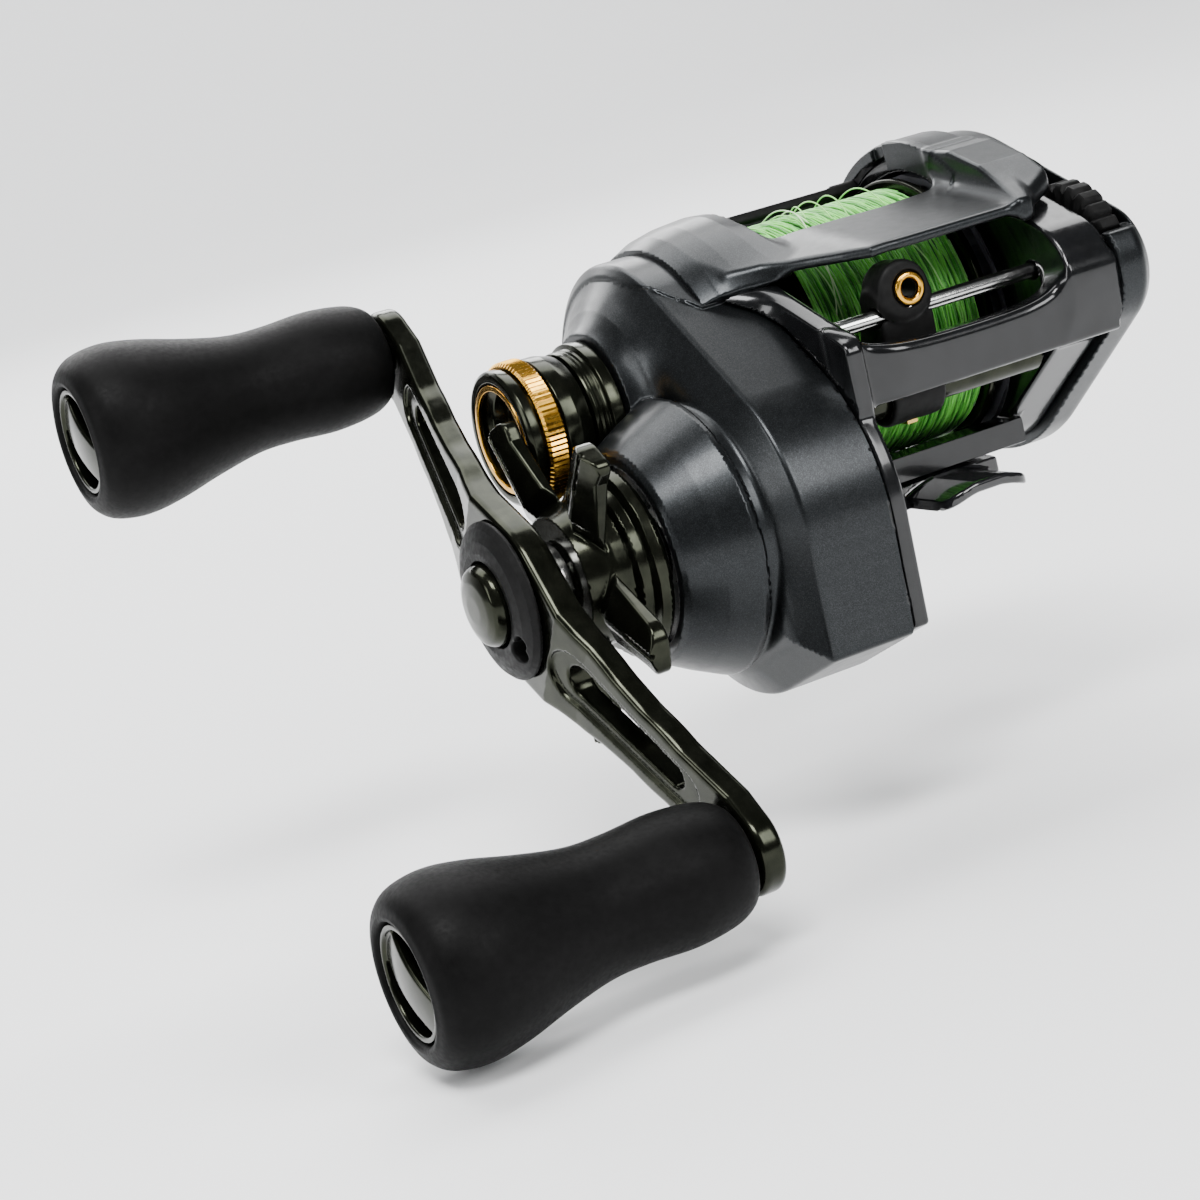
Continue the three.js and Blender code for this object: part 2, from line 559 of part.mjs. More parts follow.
// The clutch cam turns about the spool axis: its fork follows the thumb bar's peg and its two
// ramps lift the yoke's legs.
const pegAngle = Math.atan2(PEG_REST[1], PEG_REST[0]);
const CAM_X = [-18.5, -17.5];
const alongCam = (distance, radius) => [...polar(SPOOL, distance, pegAngle), radius];
const camArm = hullPlate([alongCam(9.5, 2.4), alongCam(13.6, 2.2)], CAM_X[0], CAM_X[1], 24);
const camSlot = hullPlate([alongCam(13.4, 1.3), alongCam(18, 1.3)], CAM_X[0] - 1, CAM_X[1] + 1, 24);
const RAMP_START = 1.25;
const RAMP_END = 4.1;
const ramps = yokeLegs.map((leg) => {
  const legAngle = Math.atan2(leg[1], leg[0]);
  const crestX = CAM_X[0] - CLUTCH_SLIDE + 0.1;
  const wedge = slab([
    [CAM_X[0] + 0.2, RAMP_START], [CAM_X[0] + 0.2, RAMP_END + 0.8], [crestX, RAMP_END + 0.8],
    [crestX, RAMP_END], [CAM_X[0], RAMP_START],
  ], 7.7, 9.3, 'z');
  const upright = new THREE.Matrix4().makeBasis(
    new THREE.Vector3(1, 0, 0), new THREE.Vector3(0, -Math.sin(legAngle), Math.cos(legAngle)),
    new THREE.Vector3(0, Math.cos(legAngle), Math.sin(legAngle)));
  return wedge.transform(upright.elements);
});
const camPlate = cut(join(tube(SPOOL, 7.6, 10.4, CAM_X[0], CAM_X[1], 24), camArm), camSlot);
add('clutch_cam', join(camPlate, ...ramps), greyPlastic());

const thumbBar = slab(sector(SPOOL, 17.7, 19.6, degrees(30), degrees(62), 8), -14.8, 13.2);
const thumbLeg = hullPlate([[...PEG_REST, 1.6], [13.9, 12.2, 1.3]], -14.8, -13.0, 24);
const thumbPeg = rod(PEG_REST, 1.0, -18.7, -14, 16);
add('thumb_bar', join(thumbBar, thumbLeg, thumbPeg), matteBlack());

// ---------------------------------------------------------------- drive train

add('drive_shaft', lathe(DRIVE, [
  [-15.0, 0], [-15.0, DRIVE_SHAFT_RADIUS], [-19.1, DRIVE_SHAFT_RADIUS], [-19.1, 8.0], [-20.0, 8.0],
  [-20.0, DRIVE_SHAFT_RADIUS], [-57.0, DRIVE_SHAFT_RADIUS], [-57.0, 2.0], [-60.0, 2.0], [-60.0, 0],
], 16), brightSteel());
add('drive_shaft_bearing', tube(DRIVE, DRIVE_SHAFT_RADIUS + GAP, 4.2, -16.9, -15.3, 16), brightSteel());
const ON_SHAFT = DRIVE_SHAFT_RADIUS + GAP; // bore of a piece that sits on the drive shaft
add('main_gear', spurGear(
  DRIVE, MAIN_TEETH, gearModule, -22.6, -20.3, ON_SHAFT, driveToSpool), brass());
add('drag_washer', tube(DRIVE, ON_SHAFT, 13.0, -23.5, -22.9, 24), carbonFibre());
add('key_washer', tube(DRIVE, ON_SHAFT, 12.0, -24.5, -23.8, 16), brightSteel());
add('drag_spring', lathe(DRIVE, [
  [-24.8, 5.2], [-24.8, 6.4], [-26.2, 4.6], [-26.2, 3.4], [-24.8, 5.2]], 20), brightSteel());
add('clutch_sleeve', tube(DRIVE, ON_SHAFT, 5.2, -41.2, -26.6, 20), brightSteel());
add('roller_clutch', tube(DRIVE, 5.5, BOSS_BORE_RADIUS - GAP, -38.6, -31.0, 24), blackAlloy());

const STAR_X = [-50.3, -47.4];
const starHub = lathe(DRIVE, [[-41.8, 0], [-41.8, 7.0], [-46.8, 8.6], [-50.3, 7.6], [-50.3, 0]], 30);
const starArms = Array.from({ length: STAR_ARMS }, (_, i) => {
  const angle = degrees(129) + (2 * Math.PI * i) / STAR_ARMS;
  const tip = polar(DRIVE, STAR_RADIUS - 2.6, angle);
  const hook = polar(DRIVE, STAR_RADIUS - 1.4, angle + 0.09);
  return hullPlate([[...DRIVE, 5.2], [...tip, 1.5], [...hook, 1.1]], ...STAR_X, 16);
});
add('star_drag', cut(join(starHub, ...starArms), rod(DRIVE, ON_SHAFT, -52, -40, 24)), blackAlloy());
add('arm_spacer', tube(DRIVE, ON_SHAFT, 4.8, -53.3, -50.7, 16), brightSteel());

// ---------------------------------------------------------------- handle

// The arm is drawn in its own (u, v) plane, u along the arm, and turned to its resting angle.
// Each list below runs from the hub to one end of the arm, and is mirrored for the other end.
const armCircles = [[0, 9.4], [15, 6.0], [27, 4.6], [KNOB_RADIUS_FROM_AXIS, 5.0]];
const armOuter = [[10, -57.2], [15, -55.9], [38, -52.0], [48, -51.9]];
const armInner = [[9, -53.6], [14, -52.9], [38, -48.9], [48, -48.9]];
const ARM_X = [-60, -46]; // a range that holds the whole arm

const armPlan = [-1, 1].flatMap((side) => armCircles.slice(1).map(([u, radius], i) => {
  const [uBefore, radiusBefore] = armCircles[i];
  return hullPlate([[side * uBefore, 0, radiusBefore], [side * u, 0, radius]], ...ARM_X, 20);
}));
const armSide = [
  ...armOuter.map(([u, x]) => [x, u]).reverse(),
  ...armOuter.map(([u, x]) => [x, -u]),
  ...armInner.map(([u, x]) => [x, -u]).reverse(),
  ...armInner.map(([u, x]) => [x, u]),
];
const armBody = join(...armPlan).intersect(slab(armSide, -20, 20, 'z'));
const armSlots = [-1, 1].map((side) => (
  hullPlate([[side * 14.5, 0, 2.1], [side * 30, 0, 1.5]], ...ARM_X, 16)));
const knobHoles = [-1, 1].map((side) => rod([side * KNOB_RADIUS_FROM_AXIS, 0], 2.3, ...ARM_X, 24));
const flatArm = cut(armBody, ...armSlots, ...knobHoles, rod([0, 0], ON_SHAFT, ...ARM_X, 24));
const handleArm = flatArm.rotate([THREE.MathUtils.radToDeg(ARM_ANGLE), 0, 0]).translate([0, ...DRIVE]);
add('handle_arm', handleArm, blackAlloy());
add('hub_cover', tube(DRIVE, 5.1, 9.3, -58.5, -57.5, 20), matteBlack());
add('handle_nut', lathe(DRIVE, [
  [-57.5, 2.3], [-57.5, 4.8], [-60.2, 4.8], [-60.9, 4.1], [-61.2, 2.6], [-61.3, 0], [-60.3, 0],
  [-60.3, 2.3], [-57.5, 2.3]], 20), blackAlloy());

// Peanut-shaped knobs: [share of the length from the arm, radius].
const knobProfile = [
  [0.0, 4.6], [0.02, 5.9], [0.08, 6.9], [0.2, 7.4], [0.34, 7.1], [0.46, 7.2], [0.6, 8.3], [0.74, 9.7],
  [0.85, 10.3], [0.94, 9.8], [0.985, 8.6], [1.0, 7.2]];
const knobX = (share) => KNOB_START_X + share * (KNOB_END_X - KNOB_START_X);
const KNOB_BORE = 2.6;
const CAP_RECESS = 6.3;
['upper', 'lower'].forEach((label, i) => {
  const axis = polar(DRIVE, KNOB_RADIUS_FROM_AXIS, ARM_ANGLE + i * Math.PI);
  add(`knob_${label}`, lathe(axis, [
    [knobX(0), KNOB_BORE],
    ...knobProfile.map(([share, radius]) => [knobX(share), radius]),
    [knobX(1), CAP_RECESS], [knobX(0.9), CAP_RECESS], [knobX(0.9), KNOB_BORE], [knobX(0), KNOB_BORE],
  ], 16), rubber());
  add(`knob_cap_${label}`, lathe(axis, [
    [knobX(0.91), 0], [knobX(0.91), CAP_RECESS - GAP], [knobX(0.955), CAP_RECESS - GAP],
    [knobX(0.985), 4.2], [knobX(1.0), 0]], 16), blackAlloy());
  add(`knob_shaft_${label}`, lathe(axis, [
    [-48.4, 0], [-48.4, 3.4], [-48.7, 3.4], [-48.7, 2.0], [knobX(0.87), 2.0], [knobX(0.87), 0],
  ], 20), brightSteel());
});

// ---------------------------------------------------------------- cast control

add('cap_collar', lathe(SPOOL, [
  [-34.7, 2.0], [-34.7, 8.7], [-36.4, 8.7], [-36.4, 8.1], [-38.2, 8.1], [-38.2, 2.0], [-34.7, 2.0],
], 20), blackAlloy());
add('cast_control_cap', lathe(SPOOL, [
  [-38.6, 0], [-38.6, 7.9], [-40.4, 8.4], [-42.2, 8.4], [-42.2, 7.4], [-45.4, 7.4], [-45.4, 8.2],
  [-46.6, 8.2], [-47.0, 7.7], [-47.0, 6.9], [-46.2, 6.9], [-45.2, 5.4], [-43.4, 4.8], [-43.4, 0],
], 20), blackAlloy());
add('cap_knurled_ring', tube(SPOOL, 7.7, CAP_RING_RADIUS, CAP_RING_X[0], CAP_RING_X[1], 32), gold());
add('cap_trim_ring', tube(SPOOL, 5.9, 6.6, -47.0, -46.5, 24), gold());

// ---------------------------------------------------------------- level wind

const [gearX0, gearX1] = GEAR_CLEAR_X;
add('level_wind_gear', spurGear(
  DRIVE, driverTeeth, LEVEL_WIND_MODULE, gearX0, gearX1, ON_SHAFT, WORM_DIRECTION), greyPlastic());
const idlerPhase = WORM_DIRECTION + Math.PI + Math.PI / idlerTeeth;
add('idler_gear', spurGear(
  IDLER, idlerTeeth, LEVEL_WIND_MODULE, gearX0, gearX1, 1.1, idlerPhase), greyPlastic());
add('worm_gear', spurGear(
  WORM, wormTeeth, LEVEL_WIND_MODULE, gearX0, gearX1, 1.3, WORM_DIRECTION + Math.PI), greyPlastic());
add('worm_shaft', lathe(WORM, [
  [gearX0, 0], [gearX0, 1.0], [-17.1, 1.0], [-17.1, 1.7], [15.8, 1.7], [15.8, 0]], 20), brightSteel());
add('worm_cover', cut(
  tube(WORM, 2.1, 2.8, WALL_INNER_X + GAP, PALM_RING_INNER_X - GAP, 24),
  block([-13.5, 12], around(WORM[0], 1.2), [WORM[1] - 4, WORM[1]]),
), blackAlloy());
add('guide_bar', rod(GUIDE_BAR, GUIDE_BAR_RADIUS, -16.1, 15.1, 20), brightSteel());

// A round ring or plug along Y, about the point (x, z).
function alongY(x, z, inner, outer, y0, y1, segments = 16) {
  const profile = [[inner, y0], [outer, y0], [outer, y1], [inner, y1], [inner, y0]];
  const geometry = new THREE.LatheGeometry(profile.map(([r, y]) => new THREE.Vector2(r, y)), segments);
  geometry.translate(x, 0, z);
  return toSolid(geometry);
}

const EYE_SEAT_Y = -25.5; // back of the recess that holds the eye, ahead of the guide bar
const carriageX = around(CARRIAGE_X, CARRIAGE_HALF_WIDTH);
const pawlSlot = block(around(CARRIAGE_X, 1.1), around(WORM[0], 1.1), [WORM[1] - 6, WORM[1]]);
add('line_guide', cut(
  join(
    hullPlate([[-23.6, 5.4, 2.0], [...WORM, 3.9]], ...carriageX, 32),
    alongY(CARRIAGE_X, LINE_EYE_Z, 0, 3.4, -26.1, -21.8, 20),
  ),
  rod(WORM, 3.1, -12, 2, 24),
  rod(GUIDE_BAR, GUIDE_BAR_RADIUS + GAP, -12, 2, 20),
  alongY(EYE_X, LINE_EYE_Z, 0, 1.2, -28, -20, 20),
  alongY(EYE_X, LINE_EYE_Z, 0, 2.2, -28, EYE_SEAT_Y, 20),
  pawlSlot,
), matteBlack());
add('line_eye', alongY(EYE_X, LINE_EYE_Z, 1.1, 1.9, EYE_SEAT_Y - 1.0, EYE_SEAT_Y - GAP, 24), gold());
const pawl = block(around(CARRIAGE_X, 0.7), around(WORM[0], 0.7), [WORM[1] - 4.2, WORM[1] - 2.0]);
add('pawl', pawl, brass());

export default reel;
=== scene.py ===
"""The looks of a low-profile baitcasting reel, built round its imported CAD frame.

The smooth shells are solids given by a signed distance in millimetres from the centre of the
spool, with X along the spool axis, the line leaving towards -Y and +Z up. carve() turns each
one into a mesh in metres, in the frame's own axes.
"""

import json
import math
import random

import bmesh
import bpy
import numpy as np
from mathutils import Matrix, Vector


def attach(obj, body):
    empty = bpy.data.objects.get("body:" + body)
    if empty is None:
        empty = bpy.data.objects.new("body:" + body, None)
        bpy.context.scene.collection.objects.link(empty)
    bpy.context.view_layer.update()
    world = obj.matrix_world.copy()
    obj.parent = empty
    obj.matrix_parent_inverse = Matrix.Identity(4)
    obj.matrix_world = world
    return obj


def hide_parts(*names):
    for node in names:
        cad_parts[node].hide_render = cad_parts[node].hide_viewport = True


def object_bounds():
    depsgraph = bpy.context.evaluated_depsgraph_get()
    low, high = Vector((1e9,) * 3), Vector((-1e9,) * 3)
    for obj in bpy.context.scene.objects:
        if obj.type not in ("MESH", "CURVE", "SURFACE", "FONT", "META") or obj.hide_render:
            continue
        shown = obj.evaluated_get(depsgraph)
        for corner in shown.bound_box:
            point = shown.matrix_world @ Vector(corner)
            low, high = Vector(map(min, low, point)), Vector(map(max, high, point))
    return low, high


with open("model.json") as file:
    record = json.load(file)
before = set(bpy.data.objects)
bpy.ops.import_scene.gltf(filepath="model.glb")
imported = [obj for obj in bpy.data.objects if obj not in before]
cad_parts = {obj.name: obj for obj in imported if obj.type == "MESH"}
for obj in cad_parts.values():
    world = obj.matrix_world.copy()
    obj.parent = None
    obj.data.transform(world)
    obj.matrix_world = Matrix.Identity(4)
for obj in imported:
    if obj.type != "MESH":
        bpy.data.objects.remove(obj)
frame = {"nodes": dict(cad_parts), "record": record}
cad_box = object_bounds()
random.seed(7)

# ---------------------------------------------------------------- driving dimensions (mm)

SPOOL_CENTRE = np.array([-1.5, 0.0, 18.8])  # in the frame's own axes
MM = 0.001
SPOOL = (0.0, 0.0)
DRIVE = (-14.2, -15.1)
WORM = (-20.908, -4.850)
GUIDE_BAR = (-24.2, 4.4)
CARRIAGE_X = -5.0
LINE_EYE = (-4.5, 6.9)
DIAL = (-21.0, 4.6)
RELEASE_KNOB = (8.6, -9.6)
ARM_ANGLE = math.radians(39.5)
KNOB_REACH = 42.0
STAR_FIRST_ARM = math.radians(129)

# ---------------------------------------------------------------- camera, light and floor

CAMERA_PLACE = (-0.17771, -0.30370, 0.06687)  # metres
CAMERA_TURN = (77.794, 13.363, -27.087)  # degrees
CAMERA_LENS = 85.42  # mm, on a sensor 36 mm wide


def look_through(location, rotation_degrees, lens):
    data = bpy.data.cameras.new("camera")
    data.lens = lens
    data.sensor_width = 36
    data.clip_start = 0.01
    camera = bpy.data.objects.new("camera", data)
    camera.location = location
    camera.rotation_euler = [math.radians(a) for a in rotation_degrees]
    bpy.context.scene.collection.objects.link(camera)
    bpy.context.scene.camera = camera


look_through(CAMERA_PLACE, CAMERA_TURN, CAMERA_LENS)


def node_tree(material):
    material.use_nodes = True
    return material.node_tree


def area_light(name, place, target, size, power):
    data = bpy.data.lights.new(name, "AREA")
    data.shape = "RECTANGLE"
    data.size, data.size_y = size
    data.energy = power
    light = bpy.data.objects.new(name, data)
    light.location = place
    light.rotation_euler = (Vector(target) - Vector(place)).to_track_quat("-Z", "Y").to_euler()
    bpy.context.scene.collection.objects.link(light)


CENTRE = (-0.02, -0.01, 0.01)
WORLD_COLOUR = (0.9, 0.93, 0.96, 1)
WORLD_STRENGTH = 0.16

area_light("key", (-0.25, -0.45, 0.80), CENTRE, (0.45, 0.30), 12.0)
area_light("left", (-0.85, -0.10, 0.35), CENTRE, (0.22, 0.50), 3.0)
area_light("front", (0.28, -0.72, 0.42), CENTRE, (0.30, 0.36), 5.0)
area_light("rim", (0.05, 0.80, 0.50), CENTRE, (0.80, 0.30), 6.0)
area_light("sky", (0.40, 0.90, 1.60), (0.40, 1.20, 0.0), (2.4, 1.2), 60.0)

world = bpy.data.worlds.new("world")
world.use_nodes = True
world.node_tree.nodes["Background"].inputs["Color"].default_value = WORLD_COLOUR
world.node_tree.nodes["Background"].inputs["Strength"].default_value = WORLD_STRENGTH
bpy.context.scene.world = world

FLOOR_GAP = 0.0006  # metres below the lowest point of the CAD
FLOOR_Z = cad_box[0][2] - FLOOR_GAP


def floor():
    """A floor that bends up into a wall behind the reel."""
    reach, height, bend, steps = 2.0, 1.6, 0.5, 12
    outline = [(-reach, 0.0)]
    for i in range(steps + 1):
        angle = math.pi / 2 * i / steps
        outline.append((reach - bend + bend * math.sin(angle), bend - bend * math.cos(angle)))
    outline.append((reach, height))
    vertices = [(x, y, FLOOR_Z + z) for y, z in outline for x in (-3 * reach, 3 * reach)]
    faces = [(2 * i, 2 * i + 1, 2 * i + 3, 2 * i + 2) for i in range(len(outline) - 1)]
    mesh = bpy.data.meshes.new("floor")
    mesh.from_pydata(vertices, [], faces)
    mesh.shade_smooth()
    piece = bpy.data.objects.new("floor", mesh)
    bpy.context.scene.collection.objects.link(piece)
    material = bpy.data.materials.new("floor")
    shader = node_tree(material).nodes["Principled BSDF"]
    shader.inputs["Base Color"].default_value = (0.90, 0.905, 0.91, 1)
    shader.inputs["Roughness"].default_value = 0.7
    mesh.materials.append(material)


floor()

# ---------------------------------------------------------------- materials


class Look:
    """A node material built up one detail at a time on a Principled BSDF."""

    def __init__(self, name):
        self.material = bpy.data.materials.new(name)
        self.tree = node_tree(self.material)
        self.shader = self.tree.nodes["Principled BSDF"]
        self.normal = None

    def node(self, kind, **inputs):
        made = self.tree.nodes.new(kind)
        for key, value in inputs.items():
            made.inputs[key.replace("_", " ")].default_value = value
        return made

    def link(self, source, target):
        self.tree.links.new(source, target)

    def uniform(self, **values):
        for key, value in values.items():
            self.shader.inputs[key.replace("_", " ")].default_value = value
        return self

    def coordinates(self, stretch=(1, 1, 1)):
        place = self.node("ShaderNodeTexCoord")
        mapping = self.node("ShaderNodeMapping")
        mapping.inputs["Scale"].default_value = stretch
        self.link(place.outputs["Object"], mapping.inputs["Vector"])
        return mapping.outputs["Vector"]

    def noise(self, size_mm, detail=3.0, stretch=(1, 1, 1)):
        noise = self.node("ShaderNodeTexNoise", Scale=1000.0 / size_mm, Detail=detail)
        self.link(self.coordinates(stretch), noise.inputs["Vector"])
        return noise.outputs["Fac"]

    def cells(self, size_mm):
        cells = self.node("ShaderNodeTexVoronoi", Scale=1000.0 / size_mm)
        self.link(self.coordinates(), cells.inputs["Vector"])
        return cells.outputs["Color"]

    def spread(self, value, low, high, from_low=0.3, from_high=0.7):
        remap = self.node("ShaderNodeMapRange")
        remap.inputs["From Min"].default_value = from_low
        remap.inputs["From Max"].default_value = from_high
        remap.inputs["To Min"].default_value = low
        remap.inputs["To Max"].default_value = high
        self.link(value, remap.inputs["Value"])
        return remap.outputs["Result"]

    def ramp(self, value, stops):
        ramp = self.node("ShaderNodeValToRGB")
        elements = ramp.color_ramp.elements
        while len(elements) < len(stops):
            elements.new(0.5)
        for element, (position, colour) in zip(elements, stops):
            element.position = position
            element.color = (*colour, 1)
        self.link(value, ramp.inputs["Fac"])
        return ramp.outputs["Color"]

    def two_tone(self, size_mm, dark, light):
        """A colour that wanders between two tones in patches of about that size."""
        return self.colour(self.ramp(self.noise(size_mm), [(0.3, dark), (0.7, light)]))

    def rough(self, value, low, high):
        self.link(self.spread(value, low, high), self.shader.inputs["Roughness"])
        return self

    def colour(self, socket):
        self.link(socket, self.shader.inputs["Base Color"])
        return self

    def bump(self, value, height_mm, strength=1.0):
        bump = self.node("ShaderNodeBump", Strength=strength, Distance=height_mm * MM)
        self.link(value, bump.inputs["Height"])
        if self.normal:
            self.link(self.normal, bump.inputs["Normal"])
        self.normal = bump.outputs["Normal"]
        self.link(self.normal, self.shader.inputs["Normal"])
        return self


def graphite_paint():
    look = Look("graphite_paint").uniform(Metallic=0.85, Coat_Weight=0.12, Coat_Roughness=0.18)
    flakes = look.cells(0.07)
    look.colour(look.ramp(flakes, [(0.25, (0.010, 0.0115, 0.0125)), (0.6, (0.016, 0.018, 0.0195)),
                                   (0.95, (0.034, 0.037, 0.040))]))
    look.rough(look.noise(1.4), 0.29, 0.35)
    return look.bump(flakes, 0.002, 0.12).bump(look.noise(0.5), 0.003, 0.15).material


def gloss_black():
    look = Look("gloss_black").uniform(IOR=1.5, Coat_Weight=0.3, Coat_Roughness=0.05)
    look.two_tone(3.0, (0.004, 0.004, 0.005), (0.009, 0.009, 0.010))
    look.rough(look.noise(0.9), 0.09, 0.09 + 0.06)
    return look.bump(look.noise(1.8, 1.0), 0.01, 0.10).material


def frame_alloy():
    look = Look("frame_alloy").uniform(Metallic=0.5, Coat_Weight=0.3, Coat_Roughness=0.05)
    look.two_tone(2.4, (0.0045, 0.0048, 0.0052), (0.009, 0.0095, 0.0105))
    look.rough(look.noise(0.8), 0.16, 0.23)
    return look.bump(look.noise(0.5), 0.003, 0.12).material


def black_alloy():
    look = Look("black_alloy").uniform(Metallic=0.9)
    look.two_tone(2.2, (0.013, 0.0145, 0.0095), (0.026, 0.028, 0.019))
    look.rough(look.noise(0.8), 0.13, 0.21)
    return look.bump(look.noise(0.35), 0.003, 0.15).material


def dark_steel():
    look = Look("dark_steel").uniform(Metallic=1.0)
    look.two_tone(1.5, (0.09, 0.09, 0.09), (0.16, 0.16, 0.155))
    look.rough(look.noise(0.3, 4.0), 0.24, 0.38)
    return look.bump(look.noise(0.12), 0.004, 0.3).material


def matte_black():
    look = Look("matte_black").uniform(Specular_IOR_Level=0.12)
    look.two_tone(0.8, (0.0025, 0.0025, 0.0025), (0.005, 0.005, 0.005))
    look.rough(look.noise(0.7), 0.42, 0.6)
    return look.bump(look.cells(0.12), 0.01, 0.3).material


def grey_plastic():
    look = Look("grey_plastic")
    look.two_tone(1.2, (0.060, 0.062, 0.070), (0.080, 0.083, 0.093))
    look.rough(look.noise(0.6), 0.45, 0.6)
    return look.bump(look.noise(0.2), 0.008, 0.35).material


def rubber():
    look = Look("rubber").uniform(Specular_IOR_Level=0.07)
    look.two_tone(1.1, (0.0014, 0.0014, 0.0014), (0.0026, 0.0026, 0.0026))
    look.rough(look.noise(0.5, 4.0), 0.44, 0.58)
    return look.bump(look.noise(0.14, 2.0), 0.016, 0.35).material


def steel():
    look = Look("steel").uniform(Metallic=1.0)
    look.two_tone(0.9, (0.48, 0.48, 0.47), (0.60, 0.60, 0.59))
    look.rough(look.noise(0.25, 3.0, (6, 1, 1)), 0.12, 0.24)
    return look.bump(look.noise(0.2, 2.0, (8, 1, 1)), 0.003, 0.25).material


def brass():
    look = Look("brass").uniform(Metallic=1.0)
    look.two_tone(0.9, (0.44, 0.29, 0.09), (0.56, 0.39, 0.13))
    look.rough(look.noise(0.3), 0.2, 0.32)
    return look.bump(look.noise(0.2), 0.004, 0.25).material


def gold_anodised():
    look = Look("gold_anodised").uniform(Metallic=1.0)
    look.two_tone(0.8, (0.62, 0.32, 0.035), (0.78, 0.43, 0.06))
    look.rough(look.noise(0.3), 0.16, 0.27)
    return look.bump(look.noise(0.15), 0.003, 0.25).material


def carbon_fibre():
    look = Look("carbon_fibre")
    weave = look.node("ShaderNodeTexChecker", Scale=900.0)
    look.link(look.coordinates(), weave.inputs["Vector"])
    look.colour(look.ramp(weave.outputs["Fac"], [
        (0.4, (0.014, 0.014, 0.014)), (0.6, (0.035, 0.035, 0.035))]))
    look.rough(look.noise(0.4), 0.3, 0.45)
    return look.bump(weave.outputs["Fac"], 0.02, 0.3).material


def green_braid():
    look = Look("green_braid").uniform(Sheen_Weight=0.25, Sheen_Roughness=0.4)
    strand = look.node("ShaderNodeAttribute")
    strand.attribute_name = "strand"
    look.colour(look.ramp(strand.outputs["Fac"], [
        (0.0, (0.025, 0.20, 0.015)), (0.35, (0.07, 0.42, 0.035)), (0.7, (0.16, 0.66, 0.08)),
        (0.93, (0.42, 0.85, 0.26)), (1.0, (0.78, 0.93, 0.66))]))
    look.rough(look.noise(0.3), 0.42, 0.6)
    return look.bump(look.noise(0.1, 2.0), 0.02, 0.6).material


MATERIALS = {
    "graphite_paint": graphite_paint(),
    "frame_alloy": frame_alloy(),
    "black_alloy": black_alloy(),
    "gloss_black": gloss_black(),
    "dark_steel": dark_steel(),
    "matte_black": matte_black(),
    "grey_plastic": grey_plastic(),
    "rubber": rubber(),
    "steel": steel(),
    "brass": brass(),
    "gold_anodised": gold_anodised(),
    "carbon_fibre": carbon_fibre(),
    "green_braid": green_braid(),
}
NODE_SLOT = {part["node"]: part["material_slot"] for part in frame["record"]["subparts"]}
NODE_BODY = {
    node: body for body, nodes in frame["record"]["behaviour"]["bodies"].items() for node in nodes}

for node, piece in frame["nodes"].items():
    piece.data.materials.clear()
    piece.data.materials.append(MATERIALS[NODE_SLOT[node]])

# ---------------------------------------------------------------- distance fields


def smooth_max(a, b, k):
    h = np.maximum(k - np.abs(a - b), 0.0) / k
    return np.maximum(a, b) + h * h * k / 4


def smooth_min(a, b, k):
    return -smooth_max(-a, -b, k)


def hull(u, v, circles):
    """Distance to the outline stretched round circles (u, v, radius) given anticlockwise."""
    count = len(circles)
    normals = []
    for i in range(count):
        (au, av, ar), (bu, bv, br) = circles[i], circles[(i + 1) % count]
        length = math.hypot(bu - au, bv - av)
        eu, ev = (bu - au) / length, (bv - av) / length
        lean = (ar - br) / length
        base = math.sqrt(1 - lean * lean)
        normals.append((ev * base + eu * lean, -eu * base + ev * lean))
    best = np.full(np.shape(u), -1e9)
    for i in range(count):
        cu, cv, radius = circles[i]
        nu, nv = normals[i]
        best = np.maximum(best, (u - cu) * nu + (v - cv) * nv - radius)
        pu, pv = normals[i - 1]
        du, dv = u - cu, v - cv
        after, before = pu * dv - pv * du >= 0, du * nv - dv * nu >= 0
        wide = pu * nv - pv * nu < 0
        inside = (after | before) if wide else (after & before)
        best = np.maximum(best, np.where(inside, np.hypot(du, dv) - radius, -1e9))
    return best


def polygon(u, v, points):
    """Distance to a closed polygon, negative inside."""
    nearest = np.full(np.shape(u), 1e18)
    sign = np.ones(np.shape(u))
    previous = points[-1]
    for point in points:
        eu, ev = previous[0] - point[0], previous[1] - point[1]
        wu, wv = u - point[0], v - point[1]
        share = np.clip((wu * eu + wv * ev) / (eu * eu + ev * ev), 0, 1)
        bu, bv = wu - eu * share, wv - ev * share
        nearest = np.minimum(nearest, bu * bu + bv * bv)
        c1, c2, c3 = v >= point[1], v < previous[1], eu * wv > ev * wu
        sign = np.where((c1 & c2 & c3) | (~c1 & ~c2 & ~c3), -sign, sign)
        previous = point
    return sign * np.sqrt(nearest)


def between(x, low, high):
    """Distance outside the span from low to high, negative inside it."""
    return np.maximum(low - x, x - high)


def turned(p, axis, profile):
    """A closed (x, radius) profile turned about the line y, z = axis."""
    return polygon(p[:, 0], np.hypot(p[:, 1] - axis[0], p[:, 2] - axis[1]), profile)


def rod(p, axis, radius, x0, x1):
    """A cylinder about the line y, z = axis, from x0 to x1."""
    return np.maximum(np.hypot(p[:, 1] - axis[0], p[:, 2] - axis[1]) - radius, between(p[:, 0], x0, x1))


def block(p, x, y, z):
    return np.maximum(np.maximum(between(p[:, 0], *x), between(p[:, 1], *y)), between(p[:, 2], *z))


def slope(field, p, h=0.01):
    """The gradient of a field, by central differences."""
    out = np.empty_like(p)
    for axis in range(3):
        step = np.zeros(3)
        step[axis] = h
        out[:, axis] = (field(p + step) - field(p - step)) / (2 * h)
    return out


CUBE = [(i, j, k) for i in (0, 1) for j in (0, 1) for k in (0, 1)]
CUBE_EDGES = [(a, b) for a in range(8) for b in range(a + 1, 8)
              if sum(m != n for m, n in zip(CUBE[a], CUBE[b])) == 1]


